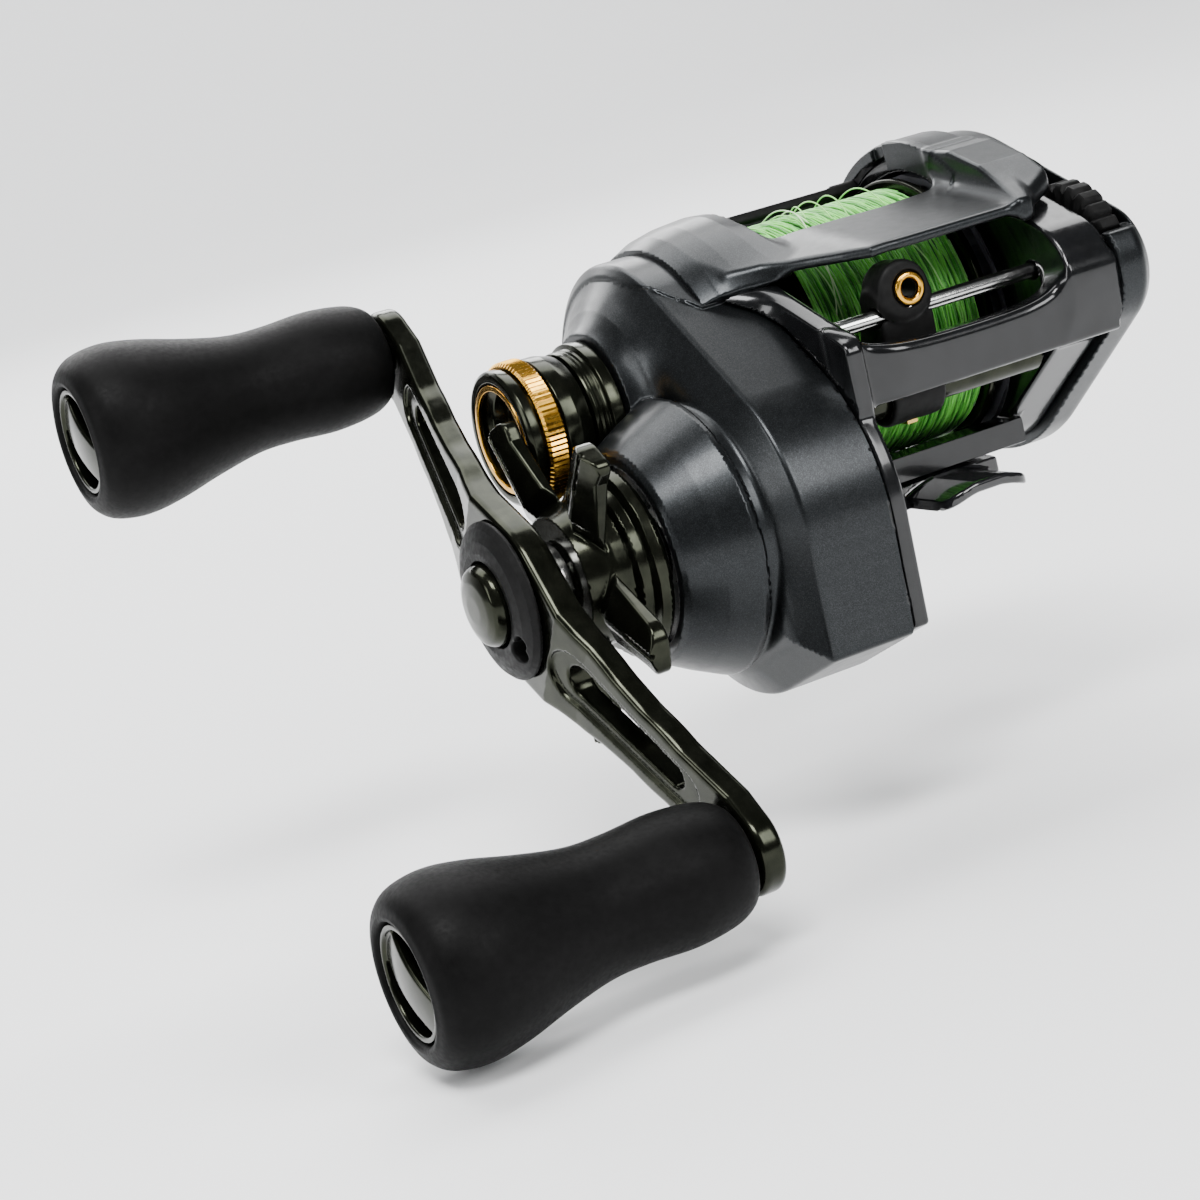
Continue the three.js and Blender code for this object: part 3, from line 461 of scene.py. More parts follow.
def surface_net(field, low, high, step):
    """Points and quads of the field's zero surface inside a box, moved exactly onto it."""
    axes = [np.arange(a - step, b + 2 * step, step) for a, b in zip(low, high)]
    shape = tuple(len(axis) for axis in axes)
    grid = np.stack(np.meshgrid(*axes, indexing="ij"), -1).reshape(-1, 3)
    value = field(grid).reshape(shape)
    inside = value < 0
    corner = [inside[i:shape[0] - 1 + i, j:shape[1] - 1 + j, k:shape[2] - 1 + k] for i, j, k in CUBE]
    total = sum(c.astype(np.int8) for c in corner)
    cells = np.argwhere((total > 0) & (total < 8))
    number = np.full(tuple(n - 1 for n in shape), -1)
    number[tuple(cells.T)] = np.arange(len(cells))
    sums, counts = np.zeros((len(cells), 3)), np.zeros(len(cells))
    for a, b in CUBE_EDGES:
        ca, cb = np.array(CUBE[a]), np.array(CUBE[b])
        va, vb = value[tuple((cells + ca).T)], value[tuple((cells + cb).T)]
        crossed = (va < 0) != (vb < 0)
        share = np.where(crossed, va / np.where(crossed, va - vb, 1), 0)[:, None]
        sums += np.where(crossed[:, None], ca + share * (cb - ca), 0)
        counts += crossed
    points = (cells + sums / counts[:, None]) * step + np.array([axis[0] for axis in axes])
    quads = []
    for axis in range(3):
        one = np.zeros(3, int)
        one[axis] = 1
        lower = [slice(1, None)] * 3
        lower[axis] = slice(0, -1)
        upper = [slice(1, None)] * 3
        upper[axis] = slice(1, None)
        a, b = inside[tuple(lower)], inside[tuple(upper)]
        edges = np.argwhere(a != b)
        flip = a[tuple(edges.T)]
        edges = edges + 1 - one
        u, v = np.zeros(3, int), np.zeros(3, int)
        u[(axis + 1) % 3], v[(axis + 2) % 3] = 1, 1
        keep = np.all(edges < np.array(number.shape), 1)
        edges, flip = edges[keep], flip[keep]
        touching = [number[tuple((edges - s * u - t * v).T)] for s, t in ((1, 1), (0, 1), (0, 0), (1, 0))]
        quad = np.stack(touching, 1)
        quad[~flip] = quad[~flip][:, ::-1]
        quads.append(quad)
    quads = np.concatenate(quads)
    for _ in range(3):
        gradient = slope(field, points)
        length2 = np.maximum((gradient ** 2).sum(1), 1e-6)
        move = -(field(points) / length2)[:, None] * gradient
        reach = np.linalg.norm(move, axis=1)[:, None]
        points += move * np.minimum(1, 0.6 * step / np.maximum(reach, 1e-9))
    return points, quads


def place(points):
    """Millimetres from the spool's centre to metres in the frame's axes."""
    return (np.asarray(points, float) + SPOOL_CENTRE) * MM


def register(name, mesh, nodes, body=None, slot=None):
    """Links a finished mesh, rides it on its body and gives it the material of its slot."""
    piece = bpy.data.objects.new(name, mesh)
    bpy.context.scene.collection.objects.link(piece)
    first = nodes[0]
    slot = slot or NODE_SLOT[first]
    mesh.materials.append(MATERIALS[slot])
    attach(piece, body or NODE_BODY[first])
    for node in nodes:
        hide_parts(node)


def carve(name, node, field, low, high, step=0.35, slot=None):
    """Meshes a distance field inside a box of millimetres and registers it."""
    points, quads = surface_net(field, low, high, step)
    normals = slope(field, points, 0.02)
    normals /= np.maximum(np.linalg.norm(normals, axis=1), 1e-9)[:, None]
    mesh = bpy.data.meshes.new(name)
    mesh.from_pydata(place(points).tolist(), [], quads.tolist())
    mesh.shade_smooth()
    mesh.normals_split_custom_set_from_vertices(normals.tolist())
    mesh.update()
    register(name, mesh, [node], slot=slot)


# ---------------------------------------------------------------- turned pieces


def rounded(profile, radius, steps=3):
    """A closed profile with each corner replaced by a short arc."""
    out = []
    count = len(profile)
    for i in range(count):
        before, here, after = (np.array(profile[(i + k) % count], float) for k in (-1, 0, 1))
        a, b = before - here, after - here
        la, lb = np.linalg.norm(a), np.linalg.norm(b)
        on_axis = here[1] < 1e-6
        cut = min(radius, la * 0.4, lb * 0.4)
        if on_axis or cut < 1e-4:
            out.append(tuple(here))
            continue
        start, end = here + a / la * cut, here + b / lb * cut
        for k in range(steps + 1):
            t = k / steps
            out.append(tuple((1 - t) ** 2 * start + 2 * t * (1 - t) * here + t * t * end))
    return out


def ring_faces(segments, count, skipped=()):
    """Quads between neighbouring copies of a closed outline of count points, all the way round."""
    faces = []
    for i in range(segments):
        here = i * count
        following = (i + 1) % segments * count
        for k in range(count):
            after = (k + 1) % count
            if k not in skipped:
                faces.append((here + k, following + k, following + after, here + after))
    return faces


def turned_mesh(name, axis, profile, segments, ripple=None):
    """A closed (x, radius) profile turned about y, z = axis. ripple(angle, radius) moves points in or out."""
    points = []
    for i in range(segments):
        angle = 2 * math.pi * i / segments
        for x, r in profile:
            reach = r + (ripple(angle, r) if ripple else 0)
            points.append((x, axis[0] + reach * math.cos(angle), axis[1] + reach * math.sin(angle)))
    count = len(profile)
    on_axis = [r < 1e-6 for _, r in profile]
    skipped = {k for k in range(count) if on_axis[k] and on_axis[(k + 1) % count]}
    mesh = bpy.data.meshes.new(name)
    mesh.from_pydata(place(points).tolist(), [], ring_faces(segments, count, skipped))
    clean(mesh)
    return mesh


def revolve(name, node, axis, profile, segments=96, radius=0.12, ripple=None):
    """A turned piece whose corners are rounded by the radius."""
    profile = rounded(profile, radius) if radius else profile
    mesh = turned_mesh(name, axis, profile, segments, ripple)
    mesh.shade_smooth()
    mesh.set_sharp_from_angle(angle=math.radians(40))
    register(name, mesh, [node])


def clean(mesh):
    """Merges doubled points and turns every face outwards."""
    work = bmesh.new()
    work.from_mesh(mesh)
    bmesh.ops.remove_doubles(work, verts=work.verts, dist=1e-7)
    bmesh.ops.dissolve_degenerate(work, edges=work.edges, dist=1e-7)
    bmesh.ops.recalc_face_normals(work, faces=work.faces)
    work.to_mesh(mesh)
    work.free()


def polar(axis, radius, angle):
    """The point y, z at a radius and an angle from an axis."""
    return (axis[0] + radius * math.cos(angle), axis[1] + radius * math.sin(angle))


# ---------------------------------------------------------------- handle-side plate

CASE_AXIS = (1.5, -1.5)
CASE_GEAR = (-13.3, -15.7, 20.2)
CASE = [(*CASE_AXIS, 17.55), CASE_GEAR, (-31.9, -29.0, 1.1), CASE_GEAR]
OUTSIDE_X = -60  # beyond the handle side
SEAM_ANGLES = [40, 110, 122, 132, 141]
SEAM_X = [-29.4, -29.2, -28.5, -26.4, -24.3]
BOSS = [(-26, 15.5), (-32.1, 15.5), (-32.6, 16.5), (-33.2, 16.6), (-36.9, 14.85), (-40.7, 12.8),
        (-41.2, 12.3), (-41.2, 0), (-26, 0)]
COLLAR = [(-26, 0), (-26, 13.0), (-31.8, 11.0), (-33.6, 9.9), (-34.4, 9.4), (-34.4, 0)]


def plane(p, point, normal):
    """Distance above the plane through a point, along its normal."""
    n = np.array(normal) / np.linalg.norm(normal)
    return (p - np.array(point)) @ n


def around(p, centre):
    """The angle of each point about an X axis, in degrees from +Y towards +Z."""
    return np.degrees(np.arctan2(p[:, 2] - centre[1], p[:, 1] - centre[0]))


def arc(angle, middle, half, radius):
    """Distance along an arc of that radius to the sector middle +- half, in degrees."""
    return radius * np.radians(np.abs(angle - middle) - half)


def plate_shoulder(p, body):
    """A raised skin on the part of the case nearest the spool."""
    angle = around(p, CASE_AXIS)
    seam_x = np.interp(angle, SEAM_ANGLES, SEAM_X)
    shoulder = smooth_max(body - 0.32, seam_x - p[:, 0], 0.15)
    return np.maximum(shoulder, arc(angle, 60, 82, 17.5))


def side_plate(p):
    x, y, z = p[:, 0], p[:, 1], p[:, 2]
    edge = hull(y, z, CASE)
    chamfer = (edge * 2.2 - (x + 28.2) * 3.2) / 3.88
    body = smooth_max(smooth_max(edge, chamfer, 0.35), -(x + 31.3), 1.0)
    solid = smooth_min(body, turned(p, SPOOL, COLLAR), 3.5)
    solid = smooth_min(solid, turned(p, DRIVE, BOSS) - 0.05, 0.5)
    solid = smooth_max(solid, -rod(p, SPOOL, 9.3, OUTSIDE_X, -34.4), 0.3)
    solid = np.minimum(solid, plate_shoulder(p, body))
    solid = np.maximum(solid, x + 17.3)
    cavity = np.maximum(np.maximum(edge + 1.5, (edge * 3.4 - (x + 25.4) * 4.2) / 5.4), -(x + 29.6))
    bores = np.minimum(rod(p, DRIVE, 11.0, OUTSIDE_X, -25), rod(p, SPOOL, 6.7, OUTSIDE_X, -25))
    return smooth_max(smooth_max(solid, -cavity, 0.2), -bores, 0.3)


# ---------------------------------------------------------------- hood

LIMB_RADIUS = 17.9
LIMB = [(-24.0, 17.5), (-24.0, 18.5), (-21.8, 19.5), (-19.0, 20.1), (-15.2, 20.4), (-13.1, 20.2),
        (-13.1, 17.5)]
BAND_THICKNESS = 1.3
BAND_CREST = (-8.0, -16.9, 14.2)
BAND_PLAN = [(13.6, -26.2), (-5.0, -26.2), (-8.2, -25.7), (-10.3, -23.1), (-13.0, -19.2), (-16.4, -14.9),
             (-19.5, -13.0), (-19.5, -8.0), (-13.2, -8.6), (-7.0, -10.6), (3.0, -11.0), (13.6, -9.6)]
DOME_INNER = 19.5
DOME_OUTER = 21.2
DOME = [(12.9, DOME_INNER), (12.9, 20.8), (14.0, DOME_OUTER), (19.2, DOME_OUTER), (20.0, 20.7),
        (20.0, DOME_INNER)]
NOSE = [(-8.0, 18.3), (-26.3, 10.7), (-26.2, 12.7), (-22.6, 14.8), (-18.5, 17.3), (-12.6, 19.4), (-7.9, 19.7)]
WEB = [(12.9, 17.7), (12.9, DOME_OUTER), (13.9, DOME_OUTER), (13.3, 17.7)]
SPOOL_CLEARANCE = 17.5


def hood_limb(p):
    """The curved limb along the top of the handle-side case."""
    angle = around(p, CASE_AXIS)
    limb = smooth_max(turned(p, CASE_AXIS, LIMB), arc(angle, 81.75, 59.75, LIMB_RADIUS), 0.3)
    return np.maximum(limb, np.minimum(p[:, 0] + 15.5, LIMB_RADIUS * np.radians(78 - angle)))


def hood_band(p):
    """The faceted plate across the front, over the line guide."""
    facets = plane(p, BAND_CREST, (0, -0.16, 1)), plane(p, BAND_CREST, (-0.23, -0.172, 1))
    top = smooth_max(*facets, 0.5)
    band = smooth_max(top, -(top + BAND_THICKNESS), 0.5)
    return smooth_max(band, polygon(p[:, 0], p[:, 1], BAND_PLAN), 0.7)


def hood_dome(p, angle):
    """The arched rim over the palm side of the spool, with its seam."""
    dome = np.maximum(turned(p, SPOOL, DOME), DOME_INNER * np.radians(between(angle, 50, 113)))
    dome = np.maximum(dome, np.minimum(13.5 - p[:, 0], DOME_INNER * np.radians(angle - 78)))
    seam = np.maximum(arc(angle, 88, 0, DOME_INNER) - 0.14, 20.75 - np.hypot(p[:, 1], p[:, 2]))
    return smooth_max(dome, -seam, 0.1)


def hood_nose(p):
    """The front end of the palm-side rim, with its outer corner cut off."""
    nose = smooth_max(polygon(p[:, 1], p[:, 2], NOSE), between(p[:, 0], 12.9, 20.0), 0.6)
    return smooth_max(nose, plane(p, (13.4, -26.0, 0), (0.55, -1, 0)), 0.9)


def hood_web(p, angle):
    """The thin wall between the palm-side rim and the band."""
    web = polygon(p[:, 0], np.hypot(p[:, 1], p[:, 2]), WEB)
    web = np.maximum(web, DOME_INNER * np.radians(between(angle, 86, 128)))
    return np.maximum(web, 13 - p[:, 2])


def hood(p):
    x, y, z = p[:, 0], p[:, 1], p[:, 2]
    angle = around(p, SPOOL)
    palm_end = smooth_min(hood_dome(p, angle), hood_nose(p), 1.5)
    palm_end = smooth_min(palm_end, hood_web(p, angle), 0.6)
    solid = smooth_min(hood_limb(p), hood_band(p), 3.4)
    solid = smooth_min(solid, palm_end, 2.6)
    keep_out = np.maximum(np.hypot(y, z) - SPOOL_CLEARANCE, -15.1 - x)
    plate_clear = np.maximum(hull(y, z, CASE) - 0.02, x + 15.0)
    solid = smooth_max(solid, -keep_out, 0.3)
    return smooth_max(solid, -plate_clear, 0.2)


# ---------------------------------------------------------------- frame and foot

PALM_OUTLINE = [(0.0, 0.0, 19.2), (-24.5, 2.8, 7.2)]
WALL_ARM = [(-29.0, 2.2, 1.7), (-28.9, -3.2, 1.7), (-14, -8, 3), (-10.4, 8.9, 2.3)]
WALL_X = (-17.0, -14.9)
WALL_CUT_X = (-20, -14)
PALM_RING_X = (13.6, 20.0)
INNER_X = (-16.2, 14.6)
BLOCK_Z = (-17.1, -14.0)
BAR_TOP = 1.5
RING_BORE = 17.3
THUMB_PIVOT = (11.3, 7.9)
THUMB_PRESSED = (14.48, 4.72)
CARRIAGE_LOW = (-20.9, -4.85)
CARRIAGE_HIGH = (-22.4, 7.6)
CARRIAGE_ROOM = 4.2


def frame_front(p):
    """Distance in front of the front face and its bevelled left corner."""
    face = plane(p, (0, -30.7, -1.0), (0, -1, -0.08))
    return smooth_max(face, plane(p, (-14.6, -28.6, 0), (-0.66, -0.75, 0)), 2.2)


def frame_left(p):
    """Distance left of the left face, which swells outwards towards the back."""
    overhang = 7.0 * np.exp((p[:, 1] + 12.8) / 2.8)
    return (-16.9 - overhang - p[:, 0]) / np.sqrt(1 + (overhang / 2.8) ** 2)


def frame_cheek(p, edge, left, front):
    """The raised cheek in front of the handle-side plate, up to its shoulder."""
    cheek = smooth_max(plane(p, (-16, -28.4, 4.6), (0, -0.44, 1)), left, 2.4)
    cheek = smooth_max(smooth_max(cheek, front, 1.8), p[:, 0] - WALL_X[1], 1.0)
    cheek = smooth_max(cheek, -(edge - 0.28), 0.4)
    cheek = np.maximum(cheek, -(p[:, 2] + 2.0))
    return np.maximum(cheek, 18.5 * np.radians(142.2 - around(p, CASE_AXIS)))


def front_bar(p, left, front):
    """The bar across the front, rising towards both sides."""
    x, y, z = p[:, 0], p[:, 1], p[:, 2]
    top = BAR_TOP + 3.6 * np.exp(-(x + 17) / 3.8) + 2.4 * np.exp(np.minimum(x - PALM_RING_X[0], 0) / 2.5)
    bar = smooth_max(z - top, front, 1.4)
    bar = smooth_max(bar, -4.4 - z, 0.8)
    bar = smooth_max(bar, y + 27.4, 0.8)
    return np.maximum(smooth_max(bar, left, 1.8), x - PALM_RING_X[1])


def rear_bar(p):
    """The curved bar behind the spool."""
    shell = between(np.hypot(p[:, 1], p[:, 2]), RING_BORE, 19.1)
    bar = np.maximum(shell, 18 * np.radians(between(around(p, SPOOL), -32, -8)))
    return smooth_max(bar, between(p[:, 0], *INNER_X), 0.3)


def foot_blocks(p):
    """The two blocks that the foot is screwed to."""
    return np.minimum(block(p, INNER_X, (-14.6, -3.4), BLOCK_Z), block(p, INNER_X, (3.4, 14.6), BLOCK_Z))


def frame_holes(p):
    """The bores in the walls and the window in which the thumb bar's pin moves."""
    holes = rod(p, SPOOL, 5.3, *WALL_CUT_X)
    holes = np.minimum(holes, rod(p, DRIVE, 4.5, *WALL_CUT_X))
    holes = np.minimum(holes, rod(p, WORM, 2.25, WALL_CUT_X[0], 16.4))
    holes = np.minimum(holes, rod(p, GUIDE_BAR, 1.15, -16.6, 15.4))
    window = hull(p[:, 1], p[:, 2], [(*THUMB_PIVOT, 1.5), (*THUMB_PRESSED, 1.5)])
    return np.minimum(holes, np.maximum(window, between(p[:, 0], *WALL_CUT_X)))


def carriage_room(p):
    """The space that the line guide sweeps through."""
    y, z = p[:, 1], p[:, 2]
    low_end = np.hypot(y - CARRIAGE_LOW[0], z - CARRIAGE_LOW[1]) - CARRIAGE_ROOM
    swept = hull(y, z, [(*CARRIAGE_LOW, CARRIAGE_ROOM), (*CARRIAGE_HIGH, CARRIAGE_ROOM)])
    return np.maximum(np.minimum(low_end, swept), between(p[:, 0], -14.5, 12.5))


def frame_solid(p):
    x, y, z = p[:, 0], p[:, 1], p[:, 2]
    edge = hull(y, z, CASE)
    left = frame_left(p)
    front = frame_front(p)
    wall = smooth_max(smooth_min(edge + 0.5, hull(y, z, WALL_ARM), 1.2), between(x, *WALL_X), 0.5)
    ring = smooth_max(hull(y, z, PALM_OUTLINE), between(x, *PALM_RING_X), 0.6)
    solid = smooth_min(smooth_min(wall, front_bar(p, left, front), 2.4), ring, 2.4)
    solid = smooth_min(solid, frame_cheek(p, edge, left, front), 0.8)
    solid = smooth_min(smooth_min(solid, rear_bar(p), 0.8), foot_blocks(p), 0.8)
    bore = np.maximum(np.hypot(y, z) - RING_BORE, -15.2 - x)
    plate_clear = np.maximum(edge - 0.28, x + 17.15)
    solid = smooth_max(solid, -bore, 0.4)
    solid = smooth_max(solid, -carriage_room(p), 0.3)
    solid = smooth_max(solid, -plate_clear, 0.4)
    return smooth_max(solid, -frame_holes(p), 0.25)


FOOT_X = 1.5
FOOT_CURVE = 13.6
FOOT_FLAT = 1.6
FOOT_UNDERSIDE = -18.8
FOOT_THICKNESS = 1.35
FOOT_PLAN = [(-3.6, -22.6, 2.4), (3.6, -22.6, 2.4), (6.2, -13.5, 2), (6.2, 13.5, 2), (3.6, 28.6, 2.4),
             (-3.6, 28.6, 2.4), (-6.2, 13.5, 2), (-6.2, -13.5, 2)]
FOOT_SCREW_Y = (-11.5, 11.5)


def foot(p):
    """A strip curved to lie on the rod, a pad under the frame and two countersunk holes."""
    x, y, z = p[:, 0] - FOOT_X, p[:, 1], p[:, 2]
    crown = FOOT_CURVE - math.sqrt(FOOT_CURVE ** 2 - FOOT_FLAT ** 2)
    bent = np.clip(np.maximum(np.abs(x), FOOT_FLAT), 0, 9)
    arch = FOOT_UNDERSIDE + crown - (FOOT_CURVE - np.sqrt(FOOT_CURVE ** 2 - bent ** 2))
    strip = np.maximum(np.maximum(arch - z, z - arch - FOOT_THICKNESS), np.abs(x) - 6.0)
    pad = block(np.stack([x, y, z], 1), (-8.2, 8.2), (-15.5, 15.5), (-20.13, -17.4))
    pad = np.maximum(pad, arch - z)
    solid = smooth_max(smooth_min(strip, pad, 0.6), hull(x, y, FOOT_PLAN), 0.5)
    for centre in FOOT_SCREW_Y:
        distance = np.hypot(x, y - centre)
        drilled = np.minimum(distance - 1.5, np.maximum(distance - 2.4, z + 18.2))
        solid = smooth_max(solid, -drilled, 0.15)
    return solid


# ---------------------------------------------------------------- palm side


def palm_plate(p):
    x, y, z = p[:, 0], p[:, 1], p[:, 2]
    edge = hull(y, z, [(0.0, 0.0, 20.3), (-24.5, 2.8, 8.0)])
    steps = [((0, 23.6), (-1.2, 25.2)), ((-1.2, 25.2), (-5.0, 27.2)), ((-5.0, 27.2), (-12.0, 28.2))]
    solid = edge
    for (d0, x0), (d1, x1) in steps:
        length = math.hypot(x1 - x0, d1 - d0)
        solid = smooth_max(solid, ((edge - d0) * (x1 - x0) - (x - x0) * (d1 - d0)) / length, 0.35)
    solid = smooth_max(solid, x - 28.2, 0.5)
    solid = np.maximum(solid, 20.3 - x)
    cavity = np.maximum(np.maximum(edge + 1.6, x - 25.4), (edge + 2.2 + (x - 24.0) * 2.0) / 2.24)
    dial = block(p, (19, 24.7), (-31.5, -14.5), (7.0, 17.5))
    knob = rod(p, RELEASE_KNOB, 2.9, 19, 30)
    solid = smooth_max(solid, -cavity, 0.25)
    solid = smooth_max(solid, -dial, 0.5)
    solid = smooth_max(solid, -knob, 0.25)
    return np.minimum(solid, rod(p, DIAL, 1.7, 20.9, 26.0))


# ---------------------------------------------------------------- handle and star drag


ARM_WIDTH = [(0, 9.4), (15, 6.0), (27, 4.6), (KNOB_REACH, 5.0)]  # half width at each reach
ARM_OUTER = [(0, -57.2), (10, -57.2), (15, -55.9), (38, -52.0), (48, -51.9)]  # x at each reach
ARM_SIDE = [(-1, -57.2), *ARM_OUTER[1:], (48, -48.9), (38, -48.9), (14, -52.9), (9, -53.6), (-1, -53.6)]


def handle_arm(p):
    x = p[:, 0]
    dy, dz = p[:, 1] - DRIVE[0], p[:, 2] - DRIVE[1]
    u = dy * math.cos(ARM_ANGLE) + dz * math.sin(ARM_ANGLE)
    v = dz * math.cos(ARM_ANGLE) - dy * math.sin(ARM_ANGLE)
    reach = np.abs(u)
    plan = None
    for (u0, r0), (u1, r1) in zip(ARM_WIDTH, ARM_WIDTH[1:]):
        link = hull(reach, v, [(u0, 0, r0), (u1, 0, r1)])
        plan = link if plan is None else smooth_min(plan, link, 1.5)
    solid = smooth_max(plan, polygon(reach, x, ARM_SIDE), 0.9)
    outer = x - np.interp(reach, *zip(*ARM_OUTER))
    trough = smooth_max(hull(reach, v, [(13.4, 0, 3.4), (32, 0, 2.6)]), outer - 0.55, 0.3)
    solid = smooth_max(solid, -trough, 0.35)
    slot = hull(reach, v, [(14.5, 0, 2.1), (30, 0, 1.5)])
    solid = smooth_max(solid, -slot, 0.35)
    solid = smooth_max(solid, -(np.hypot(reach - KNOB_REACH, v) - 2.35), 0.2)
    return smooth_max(solid, -(np.hypot(u, v) - 3.35), 0.2)


STAR_ARMS = 5
STAR_ARM_X = (-50.3, -47.4)
STAR_BORE = 3.3
STAR_HUB = [(-41.6, STAR_BORE), (-41.6, 10.9), (-42.2, 11.4), (-43.4, 11.2), (-43.7, 10.0), (-44.9, 9.9),
            (-45.2, 8.8), (-46.8, 8.6), (-50.3, 7.6), (-50.3, STAR_BORE)]
STAR_RIDGE = 0.2  # how far the ridge on each arm lies off its middle


def star_arm(p, angle):
    """One arm, hooked at the tip, with a ridge along it and a notch in the ridge's outer end."""
    x, y, z = p[:, 0], p[:, 1], p[:, 2]
    tip = polar(DRIVE, 17.0, angle)
    lead = polar(DRIVE, 18.8, angle + 0.10)
    arm = np.minimum(hull(y, z, [(*DRIVE, 5.2), (*tip, 2.8)]), hull(y, z, [(*tip, 2.8), (*lead, 1.2)]))
    across = (z - DRIVE[1]) * math.cos(angle) - (y - DRIVE[0]) * math.sin(angle)
    along = (y - DRIVE[0]) * math.cos(angle) + (z - DRIVE[1]) * math.sin(angle)
    off_ridge = np.abs(across - STAR_RIDGE)
    ridge = (-x - 50.2) + 0.45 * np.maximum(off_ridge - 0.25, 0) + 0.5 * np.maximum(10 - along, 0)
    notch = np.maximum(off_ridge - 0.22, np.maximum(14.2 - along, x + 49.7))
    return smooth_max(smooth_max(arm, ridge, 0.3), -notch, 0.12)


def star_drag(p):
    arms = None
    for i in range(STAR_ARMS):
        arm = star_arm(p, STAR_FIRST_ARM + 2 * math.pi * i / STAR_ARMS)
        arms = arm if arms is None else np.minimum(arms, arm)
    arms = smooth_max(arms, between(p[:, 0], *STAR_ARM_X), 0.4)
    solid = smooth_min(turned(p, DRIVE, STAR_HUB), arms, 0.5)
    return smooth_max(solid, -(np.hypot(p[:, 1] - DRIVE[0], p[:, 2] - DRIVE[1]) - STAR_BORE), 0.2)


KNOB_X = (-52.4, -91.2)
BRIDGE_ANGLE = math.radians(40)
KNOB_SHAPE = [(0.0, 4.6), (0.02, 5.9), (0.08, 6.9), (0.2, 7.4), (0.34, 7.1), (0.46, 7.2), (0.6, 8.3),
              (0.74, 9.7), (0.85, 10.3), (0.94, 9.8), (0.985, 8.6), (1.0, 7.2)]


def smooth_line(points, steps=6):
    """A Catmull-Rom curve through the points."""
    points = [np.array(q, float) for q in points]
    padded = [2 * points[0] - points[1], *points, 2 * points[-1] - points[-2]]
    out = []
    for i in range(1, len(padded) - 2):
        a, b, c, d = padded[i - 1:i + 3]
        for k in range(steps):
            t = k / steps
            out.append(tuple(0.5 * (2 * b + (c - a) * t + (2 * a - 5 * b + 4 * c - d) * t ** 2
                                    + (3 * b - a - 3 * c + d) * t ** 3)))
    return [*out, tuple(points[-1])]


def knob_x(share):
    """The x at a share of the knob's length, from the arm outwards."""
    return KNOB_X[0] + share * (KNOB_X[1] - KNOB_X[0])


def knob_cap(p, axis):
    """A domed bridge across the knob's open end, inside a thin rim."""
    x, y, z = p[:, 0], p[:, 1] - axis[0], p[:, 2] - axis[1]
    r = np.hypot(y, z)
    across = z * math.cos(BRIDGE_ANGLE) - y * math.sin(BRIDGE_ANGLE)
    front = KNOB_X[1] + 0.25 + 0.9 * (r / 6.2) ** 2
    dome = smooth_max(front - x, x - front - 1.1, 0.3)
    bridge = smooth_max(dome, np.abs(across) - 2.5, 0.4)
    rim = smooth_max(5.6 - r, between(x, KNOB_X[1] + 0.45, KNOB_X[1] + 2.2), 0.3)
    floor_disc = between(x, KNOB_X[1] + 3.2, KNOB_X[1] + 3.8)
    floor_disc = np.maximum(floor_disc, 2.5 - r)
    return smooth_max(np.minimum(smooth_min(bridge, rim, 0.4), floor_disc), r - 6.25, 0.15)


def hub_disc(p):
    """The domed cover round the handle nut, with its keyhole."""
    y, z = p[:, 1] - DRIVE[0], p[:, 2] - DRIVE[1]
    disc = turned(p, DRIVE, [(-57.5, 5.1), (-59.3, 5.1), (-59.4, 6.0), (-59.1, 7.4), (-58.5, 8.7),
                             (-57.9, 9.3), (-57.5, 9.3)])
    hole = np.minimum(np.hypot(y + 4.7, z + 5.1) - 1.25, np.hypot(y + 5.6, z + 4.0) - 0.85)
    return smooth_max(disc, -hole, 0.3)


def knob(label, turn):
    """One knob's grip, cap and pin, at the arm's end that lies at that turn."""
    axis = polar(DRIVE, KNOB_REACH, ARM_ANGLE + turn)
    outer = [(knob_x(share), radius) for share, radius in smooth_line(KNOB_SHAPE)]
    profile = [(knob_x(0), 2.6), *outer, (knob_x(1) + 0.1, 6.7), (knob_x(0.97), 6.35), (knob_x(0.9), 6.3),
               (knob_x(0.9), 2.6)]
    revolve(f"knob_grip_{label}", f"knob_{label}", axis, profile, 96, 0.25)
    low = (knob_x(1) + 0.1, axis[0] - 6.4, axis[1] - 6.4)
    high = (knob_x(0.9), axis[0] + 6.4, axis[1] + 6.4)
    carve(f"knob_cap_shell_{label}", f"knob_cap_{label}", lambda p: knob_cap(p, axis), low, high, 0.2,
          "black_alloy")
    revolve(f"knob_pin_{label}", f"knob_shaft_{label}", axis, [
        (-48.4, 0), (-48.4, 2.6), (-48.55, 3.4), (-48.7, 3.4), (-48.7, 2.0), (knob_x(0.95), 2.0),
        (knob_x(0.96), 1.4), (knob_x(0.96), 0)], 64, 0.08)


# ---------------------------------------------------------------- line on the spool


